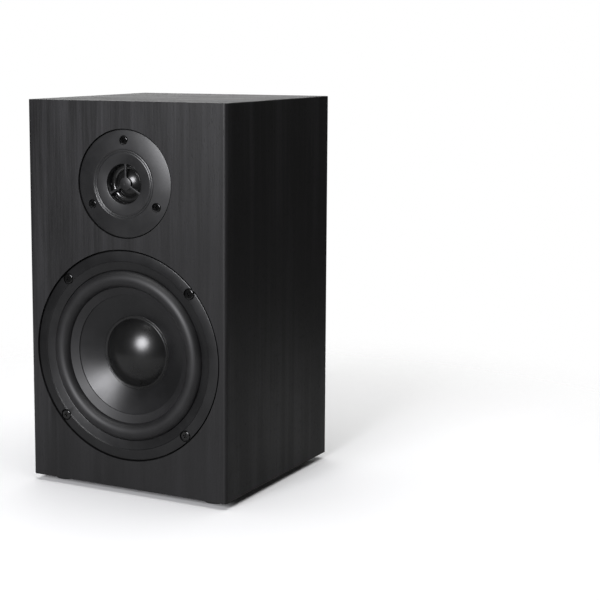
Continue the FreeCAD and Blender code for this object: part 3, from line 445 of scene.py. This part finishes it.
# points on the circle through start, via and end, from start to end
def bow(start, via, end, steps):
    (x1, y1), (x2, y2), (x3, y3) = start, via, end
    d = 2 * (x1 * (y2 - y3) + x2 * (y3 - y1) + x3 * (y1 - y2))
    s1, s2, s3 = x1 * x1 + y1 * y1, x2 * x2 + y2 * y2, x3 * x3 + y3 * y3
    cx = (s1 * (y2 - y3) + s2 * (y3 - y1) + s3 * (y1 - y2)) / d
    cy = (s1 * (x3 - x2) + s2 * (x1 - x3) + s3 * (x2 - x1)) / d
    first = math.atan2(y1 - cy, x1 - cx)
    sweep = (math.atan2(y3 - cy, x3 - cx) - first) % fullTurn
    through = (math.atan2(y2 - cy, x2 - cx) - first) % fullTurn
    sweep = sweep if through < sweep else sweep - fullTurn
    angle = first + sweep * np.linspace(0, 1, steps + 1)
    radius = math.hypot(x1 - cx, y1 - cy)
    return np.stack([cx + radius * np.cos(angle), cy + radius * np.sin(angle)], -1)


# a profile of (radius, depth) turned about a driver's axis:
# x = cx + r cos a, y = front + depth, z = cz + r sin a
def turned(profile, centre, count=160):
    ring = np.concatenate([profile, profile[:1]]) * mm
    angle = np.linspace(0, fullTurn, count + 1)
    angle[-1] = 0
    r, depth = ring[:, 0][:, None], ring[:, 1][:, None]
    x = centre[0] + r * np.cos(angle)
    z = centre[2] + r * np.sin(angle)
    y = centre[1] + depth + 0 * angle
    return np.stack([x, y, z], -1)


# a section of (across, up) points, in the plane square to the path, carried along it and closed at both ends
def swept(path, section, upright):
    path = np.array(path, float)
    along = np.gradient(path, axis=0)
    along /= np.linalg.norm(along, axis=1, keepdims=True)
    across = np.cross(along, np.array(upright, float))
    across /= np.linalg.norm(across, axis=1, keepdims=True)
    up = np.cross(across, along)
    rings = np.broadcast_to(section, (len(path),) + section.shape[-2:])
    ring = np.concatenate([rings, rings[:, :1]], 1)
    body = path[:, None] + ring[..., :1] * across[:, None] + ring[..., 1:] * up[:, None]
    ends = [np.repeat(path[k][None, None], ring.shape[1], 1) for k in (0, -1)]
    return np.concatenate([ends[0], body, ends[1]])


def bored(obj, cutter):
    cut = obj.modifiers.new("bore", "BOOLEAN")
    cut.object = cutter
    cut.operation = "DIFFERENCE"
    cut.solver = "EXACT"
    bpy.context.view_layer.objects.active = obj
    bpy.ops.object.modifier_apply(modifier=cut.name)
    bpy.data.objects.remove(cutter)


def driverAxis(node):
    low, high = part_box(node)
    return ((low.x + high.x) / 2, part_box("front_baffle")[0].y, (low.z + high.z) / 2)


wooferAxis = driverAxis("woofer_trim_ring")
tweeterAxis = driverAxis("tweeter_faceplate")


# screw wells round a driver, all of one profile
def boltCutter(name, axis, radius, angles, profile):
    grids = []
    for degrees in angles:
        a = math.radians(degrees)
        at = (axis[0] + radius * mm * math.cos(a), axis[1], axis[2] + radius * mm * math.sin(a))
        grids.append(turned(profile, at, 56))
    return piece(name, grids, "black_screws")


# woofer trim ring: flat rim, a small step, then a slope down to the roll
trimRing = {"outer": 81.8, "crown": 0.6, "step": 74.0, "stepRun": 0.4, "stepDrop": 0.5, "inner": 66.9,
            "slopeDrop": 1.7, "back": 3.0, "edge": 0.6, "boltCircle": 77.5, "recess": 4.6, "recessDepth": 2.4,
            "shank": 1.95, "mouthCut": 0.1, "above": 2, "below": 5, "angles": (43, 133, 223, 313)}


def makeTrimRing():
    t = trimRing
    corners = [(t["outer"], t["crown"]), (t["step"], 0), (t["step"] - t["stepRun"], t["stepDrop"]),
               (t["inner"], t["slopeDrop"]), (t["inner"], t["back"]), (t["outer"], t["back"])]
    profile = softened(corners, [t["edge"], 0.18, 0.15, 0.3, 0.1, 0.1], 4)
    ring = piece("woofer_ring", [turned(profile, wooferAxis, 288)], "trim_plastic")
    drop, above, below, wide = t["recessDepth"], t["above"], t["below"], t["recess"] + t["mouthCut"]
    well = np.array([(0, -above), (wide + above, -above), (wide, 0), (t["recess"], t["mouthCut"]),
                     (t["recess"], drop), (t["shank"], drop), (t["shank"], below), (0, below)])
    bored(ring, boltCutter("ring_cutter", wooferAxis, t["boltCircle"], t["angles"], well))
    smooth(ring, 28)
    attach(ring, "cabinet")
    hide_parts("woofer_trim_ring")


# roll surround: glued land, half roll, sloping inner land
surround = {"outer": 71.2, "land": 3.05, "rollOut": 66.6, "crest": 60.0, "crestDepth": -3.25, "rollIn": 53.4,
            "tip": 47.3, "tipDepth": 6.25, "wall": 0.8}


def rollWeight(obj, axis, still, moving):
    # 0 outside the first radius, 1 inside the second, smooth between
    place = np.empty(len(obj.data.vertices) * 3, np.float32)
    obj.data.vertices.foreach_get("co", place)
    place = place.reshape(-1, 3)
    radius = np.hypot(place[:, 0] - axis[0], place[:, 2] - axis[2])
    share = np.clip((still * mm - radius) / ((still - moving) * mm), 0, 1)
    share = share * share * (3 - 2 * share)


def makeSurround():
    s = surround
    wall = s["wall"]
    front = np.concatenate([
        [(s["outer"], s["land"])],
        bow((s["rollOut"], s["land"]), (s["crest"], s["crestDepth"]), (s["rollIn"], s["land"]), 40),
        [(s["tip"], s["tipDepth"])]])
    back = np.concatenate([
        [(s["tip"], s["tipDepth"] + wall)],
        bow((s["rollIn"] + wall, s["land"] + wall), (s["crest"], s["crestDepth"] + wall),
            (s["rollOut"] - wall, s["land"] + wall), 40),
        [(s["outer"], s["land"] + wall)]])
    roll = piece("woofer_roll", [turned(np.concatenate([front, back]), wooferAxis, 256)], "roll_rubber", 26)
    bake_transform(roll)
    rollWeight(roll, wooferAxis, s["rollOut"], s["rollIn"])
    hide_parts("woofer_surround")


# cone, dust cap and the bead of glue round the cap
cone = {"rim": 53.6, "rimDepth": 4.15, "land": 47.3, "landDepth": 7.35, "via": 31.3, "viaDepth": 14.675,
        "neck": 15.3, "neckDepth": 24.0, "wall": 0.9}
cap = {"radius": 27.0, "rise": 11.5, "wall": 0.8, "lip": 1.8, "lipEdge": 0.3, "heel": 0.25, "sunk": 0.05}
bead = {"size": 0.42, "out": 0.15, "sunk": 0.1, "sway": 0.10,
        "lumps": ((7, 0.14, 0.4), (19, 0.10, 1.1), (43, 0.07, 0))}


def conePoint(radius):
    # depth of the cone's front at a radius, read off its arc
    arc = bow((cone["land"], cone["landDepth"]), (cone["via"], cone["viaDepth"]),
              (cone["neck"], cone["neckDepth"]), 200)
    return float(np.interp(-radius, -arc[:, 0], arc[:, 1]))


def makeCone():
    c = cone
    arc = bow((c["land"], c["landDepth"]), (c["via"], c["viaDepth"]), (c["neck"], c["neckDepth"]), 48)
    front = np.concatenate([[(c["rim"], c["rimDepth"])], arc])
    back = front[::-1] + (0, c["wall"])
    shape = turned(np.concatenate([front, back]), wooferAxis, 256)
    body = piece("woofer_cone_shell", [shape], "cone_plastic", 40)
    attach(body, "woofer_moving")
    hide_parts("woofer_cone")


def makeCap():
    c = cap
    seat = conePoint(c["radius"]) - c["sunk"]
    lipSeat = conePoint(c["radius"] + c["lip"]) - c["sunk"]
    apex = seat - c["wall"] - c["rise"]
    sphere = (c["radius"] ** 2 + c["rise"] ** 2) / (2 * c["rise"])
    r = np.linspace(0, c["radius"], 40)
    dome = np.stack([r, apex + sphere - np.sqrt(sphere ** 2 - r ** 2)], -1)
    lip = [(c["radius"] + c["heel"], seat - c["wall"] + c["sunk"]),
           (c["radius"] + c["lip"], lipSeat - c["lipEdge"]),
           (c["radius"] + c["lip"], lipSeat), (c["radius"], seat)]
    under = dome[::-1] + (0, c["wall"])
    shell = piece("woofer_cap", [turned(np.concatenate([dome, lip, under[1:]]), wooferAxis, 192)],
                  "cap_plastic", 40)
    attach(shell, "woofer_moving")
    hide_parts("woofer_dust_cap")


def makeBead():
    # a ring whose section grows and shrinks with the angle, as hand-laid glue does
    radius = cap["radius"] + cap["lip"] + bead["out"]
    a = np.linspace(0, fullTurn, 361)
    a[-1] = 0
    b = np.linspace(0, fullTurn, 13)
    b[-1] = 0
    size = bead["size"] * (1 + sum(high * np.sin(count * a + turn) for count, high, turn in bead["lumps"]))
    r = radius + size[:, None] * np.cos(b) + bead["sway"] * np.sin(5 * a)[:, None]
    depth = conePoint(radius) - bead["sunk"] + size[:, None] * 0.8 * np.sin(b)
    ring = np.stack([wooferAxis[0] + r * mm * np.cos(a)[:, None], wooferAxis[1] + depth * mm,
                     wooferAxis[2] + r * mm * np.sin(a)[:, None]], -1)
    glue = piece("cap_glue_bead", [ring], "cap_plastic", 60)
    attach(glue, "woofer_moving")


# spider: a corrugated cloth disc behind the cone
spider = {"inner": 15.55, "flat": 2.0, "outer": 47.1, "waves": 5, "wavesEnd": 40.0, "height": 1.0,
          "rest": 33.45, "wall": 0.5}


def makeSpider():
    s = spider
    r = np.linspace(s["inner"], s["outer"], 150)
    start = s["inner"] + s["flat"]
    u = np.clip((r - start) / (s["wavesEnd"] - start), 0, 1)
    depth = s["rest"] - s["height"] * np.sin(fullTurn * s["waves"] * u) * np.sin(math.pi * u) ** 0.3
    front = np.stack([r, depth], -1)
    back = front[::-1] + (0, s["wall"])
    disc = piece("woofer_spider_cloth", [turned(np.concatenate([front, back]), wooferAxis, 144)],
                 "spider_cloth", 60)
    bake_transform(disc)
    rollWeight(disc, wooferAxis, s["wavesEnd"] + 1, start)
    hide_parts("woofer_spider")


# tweeter faceplate: crowned disc, two fine grooves, a shallow horn, three spokes and a plug
face = {"radius": 41.2, "edge": 0.4, "edgeDrop": 0.9, "crest": -1.0, "ridgeOuter": 26.8, "ridgeInner": 23.5,
        "ridgeDrop": 0.32, "mouth": 0.3, "throat": 15.5, "throatDrop": 1.0, "pocket": 7.05, "pocketR": 17.9,
        "pocketBack": 7.65, "boss": 26.5, "back": 4.0, "boltCircle": 33.3, "recess": 3.7, "recessDepth": 2.2,
        "shank": 1.55, "above": 3, "below": 6}
plug = {"radius": 5.0, "front": 1.2, "shoulder": 0.55, "back": 2.7, "edge": 0.6, "dimple": 0.7,
        "dimpleDrop": 0.35}
spoke = {"width": 1.9, "front": 1.7, "back": 2.9, "inner": 4.0, "outer": 16.5, "flare": 0.35,
         "flareOut": 13.5, "flareIn": 6.5, "flareRun": 2.0}
threeWays = (90, 210, 330)


def ridgeProfile():
    # two smooth valleys with a ridge between them: depth = crest + d sin^2(2 pi u) + m u
    f = face
    r = np.linspace(f["ridgeOuter"], f["ridgeInner"], 61)
    u = (f["ridgeOuter"] - r) / (f["ridgeOuter"] - f["ridgeInner"])
    wave = np.sin(fullTurn * u) ** 2
    return np.stack([r, f["crest"] + f["ridgeDrop"] * wave + f["mouth"] * u], -1)


def makeFace():
    f = face
    crest = f["crest"]
    front = softened([(f["radius"], f["back"]), (f["radius"], f["edgeDrop"]), (f["ridgeOuter"] + 0.2, crest)],
                     [0, f["edge"], 0], 5, False)
    horn = softened([(f["ridgeInner"] - 0.1, crest + f["mouth"]), (f["throat"], crest + f["throatDrop"]),
                     (f["throat"], f["pocket"])], [0, 0.35, 0], 5, False)
    rear = [(f["throat"], f["pocket"]), (f["pocketR"], f["pocket"]), (f["pocketR"], f["pocketBack"]),
            (f["boss"], f["pocketBack"]), (f["boss"], f["back"])]
    profile = np.concatenate([front, ridgeProfile(), horn, rear])
    disc = piece("tweeter_face", [turned(profile, tweeterAxis, 256)], "face_plastic")
    drop, above, below = f["recessDepth"], f["above"], f["below"]
    well = np.array([(0, -above), (f["recess"], -above), (f["recess"], drop), (f["shank"], drop),
                     (f["shank"], below), (0, below)])
    bored(disc, boltCutter("face_cutter", tweeterAxis, f["boltCircle"], threeWays, well))
    smooth(disc, 28)
    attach(disc, "cabinet")
    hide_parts("tweeter_faceplate")


def makePhasePlug():
    p = plug
    # the front is crowned: depth = front + shoulder (r / radius)^2, with a small dimple in the middle
    r = np.linspace(p["dimple"], p["radius"] - p["edge"], 14)
    crown = np.stack([r, p["front"] + p["shoulder"] * (r / p["radius"]) ** 2], -1)
    rim = softened([tuple(crown[-1]), (p["radius"], p["front"] + p["shoulder"]), (p["radius"], p["back"]),
                    (0, p["back"])], [0, p["edge"], 0.2, 0], 5, False)
    outline = np.concatenate([[(0, p["front"] + p["dimpleDrop"])], crown, rim[1:]])
    grids = [turned(outline, tweeterAxis, 96)]
    s = spoke
    half, deep = s["width"] / 2, (s["back"] - s["front"]) / 2
    t = np.linspace(0, fullTurn, 25)[:-1]
    # superellipse section |x/a|^5 + |y/b|^5 = 1, so the bar's edges are small rounds
    section = np.stack([half * np.sign(np.cos(t)) * np.abs(np.cos(t)) ** 0.4,
                        deep * np.sign(np.sin(t)) * np.abs(np.sin(t)) ** 0.4], -1) * mm
    for degrees in threeWays:
        a = math.radians(degrees)
        r = np.linspace(s["inner"], s["outer"], 14)
        path = np.stack([tweeterAxis[0] + r * mm * math.cos(a),
                         np.full(14, tweeterAxis[1] + (s["front"] + deep) * mm),
                         tweeterAxis[2] + r * mm * math.sin(a)], -1)
        # each end widens: width x (1 + flare t^2) over the last run of the bar
        outer = np.clip((r - s["flareOut"]) / s["flareRun"], 0, 1)
        inner = np.clip((s["flareIn"] - r) / s["flareRun"], 0, 1)
        flare = 1 + s["flare"] * (outer ** 2 + inner ** 2)
        grids.append(swept(path, section[None] * np.stack([flare, 1 + 0 * flare], -1)[:, None], (0, 1, 0)))
    made = piece("tweeter_plug", grids, "face_plastic")
    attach(made, "cabinet")


# tweeter dome and its little roll, which is the glossier of the two
rollFilm = moulded("rollFilm", {"tint": grey(0.010), "rough": 0.20, "gloss": 1.0, "bump": 0.02, "wear": 0.02,
                                "Coat Weight": 0.5, "Coat Roughness": 0.12})
dome = {"radius": 10.5, "apex": 3.5, "rise": 3.6, "wall": 0.25}
domeRoll = {"inner": 10.5, "outer": 15.2, "rise": 2.0, "land": 17.4, "depth": 7.1, "wall": 0.25}


def makeDome():
    d = dome
    sphere = (d["radius"] ** 2 + d["rise"] ** 2) / (2 * d["rise"])
    r = np.linspace(0, d["radius"], 36)
    front = np.stack([r, d["apex"] + sphere - np.sqrt(sphere ** 2 - r ** 2)], -1)
    back = front[::-1] + (0, d["wall"])
    shape = turned(np.concatenate([front, back]), tweeterAxis, 144)
    shell = piece("tweeter_dome_film", [shape], "dome_film", 40)
    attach(shell, "tweeter_moving")
    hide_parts("tweeter_dome")


def makeDomeRoll():
    s = domeRoll
    mid = (s["inner"] + s["outer"]) / 2
    front = bow((s["inner"], s["depth"]), (mid, s["depth"] - s["rise"]), (s["outer"], s["depth"]), 16)
    front = np.concatenate([front, [(s["land"], s["depth"])]])
    back = front[::-1] + (0, s["wall"])
    roll = piece("tweeter_roll", [turned(np.concatenate([front, back]), tweeterAxis, 144)], "dome_film", 26)
    roll.data.materials[0] = rollFilm
    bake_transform(roll)
    rollWeight(roll, tweeterAxis, s["outer"], s["inner"])
    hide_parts("tweeter_surround")


# tinsel leads: from the terminal strip, over a slack bend, to the back of the cone
tinsel = {"radius": 0.6, "straight": 9.0, "reach": 10.0, "spread": 2.0, "drop": 13.0, "rise": 8.0,
          "bend": 4.5, "pitch": 5.0, "end": 1.0}


def makeTinsel():
    t = tinsel
    low, high = (np.array(v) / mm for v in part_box("woofer_tinsel_leads"))
    start, end = low[0] + t["radius"], high[0] - t["radius"]
    around = np.linspace(0, fullTurn, 13)[:-1]
    section = np.stack([np.cos(around), np.sin(around)], -1) * t["radius"] * mm
    grids = []
    for side in (-1, 1):
        z = wooferAxis[2] / mm + side * t["pitch"]
        corners = [(start, high[1], z), (start, high[1] - t["straight"], z),
                   (start + t["reach"], high[1] - t["drop"], z + side * t["spread"]),
                   (end, low[1] + t["rise"], z + side * t["end"]), (end, low[1], z + side * t["end"])]
        path = softened(corners, t["bend"], 6, False)[6:-6] * mm
        grids.append(swept(path, section, (0, 0, 1)))
    leads = piece("tinsel_leads", grids, "tinsel_braid", 60)
    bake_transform(leads)
    rollWeight(leads, wooferAxis, -start - 2 * t["radius"], -end + 2 * t["radius"])
    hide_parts("woofer_tinsel_leads")


# contact springs: a strip through the cup's floor, down it and out to the back of the lever
spring = {"thick": 0.4, "tab": 11.3, "rise": 3.4, "bend": 1.1, "foot": 0.35}


def makeSpring(node):
    s = spring
    low, high = (np.array(v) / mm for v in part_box(node))
    half = s["thick"] / 2
    x = (low[0] + high[0]) / 2
    floor = low[1] + s["tab"]
    corners = [(x, low[1], high[2] - half), (x, floor, high[2] - half), (x, floor, low[2] + s["foot"]),
               (x, high[1] - half, low[2] + s["rise"])]
    path = softened(corners, s["bend"], 6, False)[6:-6] * mm
    wide = (high[0] - low[0]) / 2
    section = np.array([(-half, -wide), (half, -wide), (half, wide), (-half, wide)]) * mm
    name = node.replace("contact_spring", "spring_strip")
    made = piece(name, [swept(path, section, (1, 0, 0))], "spring_steel")
    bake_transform(made)
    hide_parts(node)


def makeSprings():
    makeSpring("red_contact_spring")
    makeSpring("black_contact_spring")


# feet: soft-edged rubber discs
foot = {"radius": 10.0, "edge": 1.2, "top": 0.2}


def makeFeet():
    low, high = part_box("rubber_feet")
    grids = []
    for sx in (-1, 1):
        for sy in (-1, 1):
            x = (low.x if sx < 0 else high.x) - sx * foot["radius"] * mm
            y = (low.y if sy < 0 else high.y) - sy * foot["radius"] * mm
            tall = (high.z - low.z) / mm
            corners = [(0, 0), (foot["radius"], 0), (foot["radius"], tall), (0, tall)]
            outline = softened(corners, [0, foot["edge"], foot["top"], 0], 6, False)
            ring = turned(outline, (0, 0, 0), 72)
            grids.append(np.stack([ring[..., 0] + x, -ring[..., 2] + y, ring[..., 1] + low.z], -1))
    made = piece("feet", grids, "foot_rubber")
    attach(made, "cabinet")
    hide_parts("rubber_feet")


# wadding: a slack pad of fibre on the cabinet floor, fuller in the middle than at its corners
pad = {"swell": 0.12, "lump": 0.035}


def makePad():
    low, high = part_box("damping_pad")
    centre, half = (low + high) / 2, (high - low) / 2
    u = np.linspace(-math.pi / 2, math.pi / 2, 61)[:, None]
    v = np.linspace(0, fullTurn, 181)[None, :]
    v = np.where(v == fullTurn, 0, v)

    def power(value, exponent):
        return np.sign(value) * np.abs(value) ** exponent

    # superellipsoid with lumps: each axis is cos^0.35 cos^0.3 of the two angles, times 1 + small sines
    lump = 1 - pad["lump"] * (1 + np.sin(5 * v + 2 * np.sin(3 * u)) * np.cos(4 * u)) * np.cos(u) ** 0.5
    x = half.x * power(np.cos(u), 0.35) * power(np.cos(v), 0.30) * lump
    y = half.y * power(np.cos(u), 0.35) * power(np.sin(v), 0.30) * lump
    edge = (np.abs(x / half.x) ** 4 + np.abs(y / half.y) ** 4) / 2
    z = half.z * power(np.sin(u), 0.45) * np.ones_like(v) * (1 - pad["swell"] * edge)
    points = np.stack([x + centre.x, y + centre.y, z + centre.z], -1)
    points[0] = points[0].mean(0)
    points[-1] = points[-1].mean(0)
    made = piece("wadding_pad", [points], "wadding", 70)
    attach(made, "cabinet")
    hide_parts("damping_pad")


for step in (makeTrimRing, makeSurround, makeCone, makeCap, makeBead, makeSpider, makeFace, makePhasePlug,
             makeDome, makeDomeRoll, makeTinsel, makeSprings, makeFeet, makePad):
    step()
print("new pieces made")


# CAD nodes that stay: each gets its slot's material, shared vertices and smooth rounds
nodeSlots = {part["node"]: part["material_slot"] for part in frame["record"]["subparts"]}
topVinyl = vinyl("topVinyl", 0)
for node, obj in frame["nodes"].items():
    if obj.hide_render:
        continue
    slot = nodeSlots[node]
    obj.data.materials.clear()
    obj.data.materials.append(topVinyl if node in ("top_panel", "bottom_panel") else finishes[slot])
    obj.data.shade_smooth()
    weld = obj.modifiers.new("weld", "WELD")
    weld.merge_threshold = 1e-6
    split = obj.modifiers.new("edges", "EDGE_SPLIT")
    split.split_angle = math.radians(30)
print("kept nodes finished")


# camera
lens = {"focal": 92.538, "sensor": 36.0, "shift": (0.145, -0.07), "at": (0.63431, -1.06895, 0.35040),
        "azimuth": 29.5236, "elevation": 7.990, "roll": -0.080}


def makeCamera():
    a, e, w = (math.radians(lens[k]) for k in ("azimuth", "elevation", "roll"))
    back = np.array((math.sin(a) * math.cos(e), -math.cos(a) * math.cos(e), math.sin(e)))
    right = np.array((math.cos(a), math.sin(a), 0))
    up = np.cross(back, right)
    turn = np.array([[math.cos(w), math.sin(w), 0], [-math.sin(w), math.cos(w), 0], [0, 0, 1]])
    rows = turn @ np.stack([right, up, back])
    data = bpy.data.cameras.new("camera")
    data.lens = lens["focal"]
    data.sensor_width = lens["sensor"]
    data.shift_x, data.shift_y = lens["shift"]
    data.clip_start, data.clip_end = 0.05, 60
    camera = bpy.data.objects.new("camera", data)
    bpy.context.scene.collection.objects.link(camera)
    camera.matrix_world = Matrix.Translation(lens["at"]) @ Matrix(rows.T.tolist()).to_4x4()
    bpy.context.scene.camera = camera


# floor and studio light
studio = {"ambient": 0.055, "floor": 0.94, "fade": (0.26, 0.62), "unmirrored": 0.72}
lamps = {
    "front_box": {"at": (0.02, -1.72, 0.68), "aim": (0, 0, 0.16), "size": (0.80, 0.80), "power": 34.0,
                  "tint": (0.965, 0.965, 1.0)},
    "top_box": {"at": (0.1, 0.1, 1.9), "aim": (0, 0, 0.0), "size": (2.6, 2.4), "power": 38.0},
    "back_wall": {"at": (-0.9, 2.0, 0.65), "aim": (0, 0, 0.3), "size": (2.6, 1.1), "power": 12.0},
}


def makeLamps():
    for name, lamp in lamps.items():
        data = bpy.data.lights.new(name, "AREA")
        data.shape = "ELLIPSE"
        data.size, data.size_y = lamp["size"]
        data.energy = lamp["power"]
        data.color = lamp.get("tint", (1, 1, 1))
        obj = bpy.data.objects.new(name, data)
        bpy.context.scene.collection.objects.link(obj)
        obj.location = lamp["at"]
        obj.rotation_euler = (Vector(lamp["aim"]) - Vector(lamp["at"])).to_track_quat("-Z", "Y").to_euler()
        obj.visible_camera = False


def makeWorld():
    world = bpy.data.worlds.new("studio")
    bpy.context.scene.world = world
    world.use_nodes = True
    nodes, links = world.node_tree.nodes, world.node_tree.links
    nodes.clear()
    path = nodes.new("ShaderNodeLightPath")
    dim = nodes.new("ShaderNodeBackground")
    dim.inputs["Color"].default_value = grey(studio["ambient"])
    white = nodes.new("ShaderNodeBackground")
    white.inputs["Color"].default_value = grey(1.0)
    pick = nodes.new("ShaderNodeMixShader")
    out = nodes.new("ShaderNodeOutputWorld")
    links.new(path.outputs["Is Camera Ray"], pick.inputs[0])
    links.new(dim.outputs[0], pick.inputs[1])
    links.new(white.outputs[0], pick.inputs[2])
    links.new(pick.outputs[0], out.inputs["Surface"])


def makeFloor():
    # a pale disc that fades out with distance, so it meets the white background without a line
    graph = Graph("floorPaper")
    place = graph.place()
    x, y, _ = graph.parts(place)
    far = graph.math("SQRT", x * x + y * y)
    fibre = graph.noise(place, 900.0, 3.0, 0.6)
    colour = graph.mix(fibre, grey(studio["floor"] - 0.02), grey(studio["floor"] + 0.02))
    paper = graph.node("ShaderNodeBsdfPrincipled", {}, {"Base Color": colour, "Roughness": 0.85})
    clear = graph.node("ShaderNodeBsdfTransparent", {}, {})
    mirrored = graph.node("ShaderNodeLightPath", {}, {}, "Is Glossy Ray")
    fade = graph.math("MAXIMUM", graph.step(far, *studio["fade"]), mirrored * studio["unmirrored"])
    graph.nodeOut(graph.node("ShaderNodeMixShader", {}, {0: fade, 1: paper, 2: clear}))
    r = np.linspace(0, 3.0, 40)[:, None]
    a = np.linspace(0, fullTurn, 97)[None, :]
    points = np.stack([r * np.cos(a), r * np.sin(a), 0 * r * a], -1)
    mesh = bpy.data.meshes.new("floor")
    index = np.arange(points.shape[0] * points.shape[1]).reshape(points.shape[:2])
    quads = np.stack([index[:-1, :-1], index[1:, :-1], index[1:, 1:], index[:-1, 1:]], -1).reshape(-1, 4)
    mesh.from_pydata(points.reshape(-1, 3).tolist(), [], quads.tolist())
    floor = bpy.data.objects.new("floor", mesh)
    bpy.context.scene.collection.objects.link(floor)
    floor.data.materials.append(graph.material)


makeCamera()
makeLamps()
makeWorld()
makeFloor()
bpy.context.scene.view_settings.view_transform = "Standard"
print("camera, lamps and floor set")
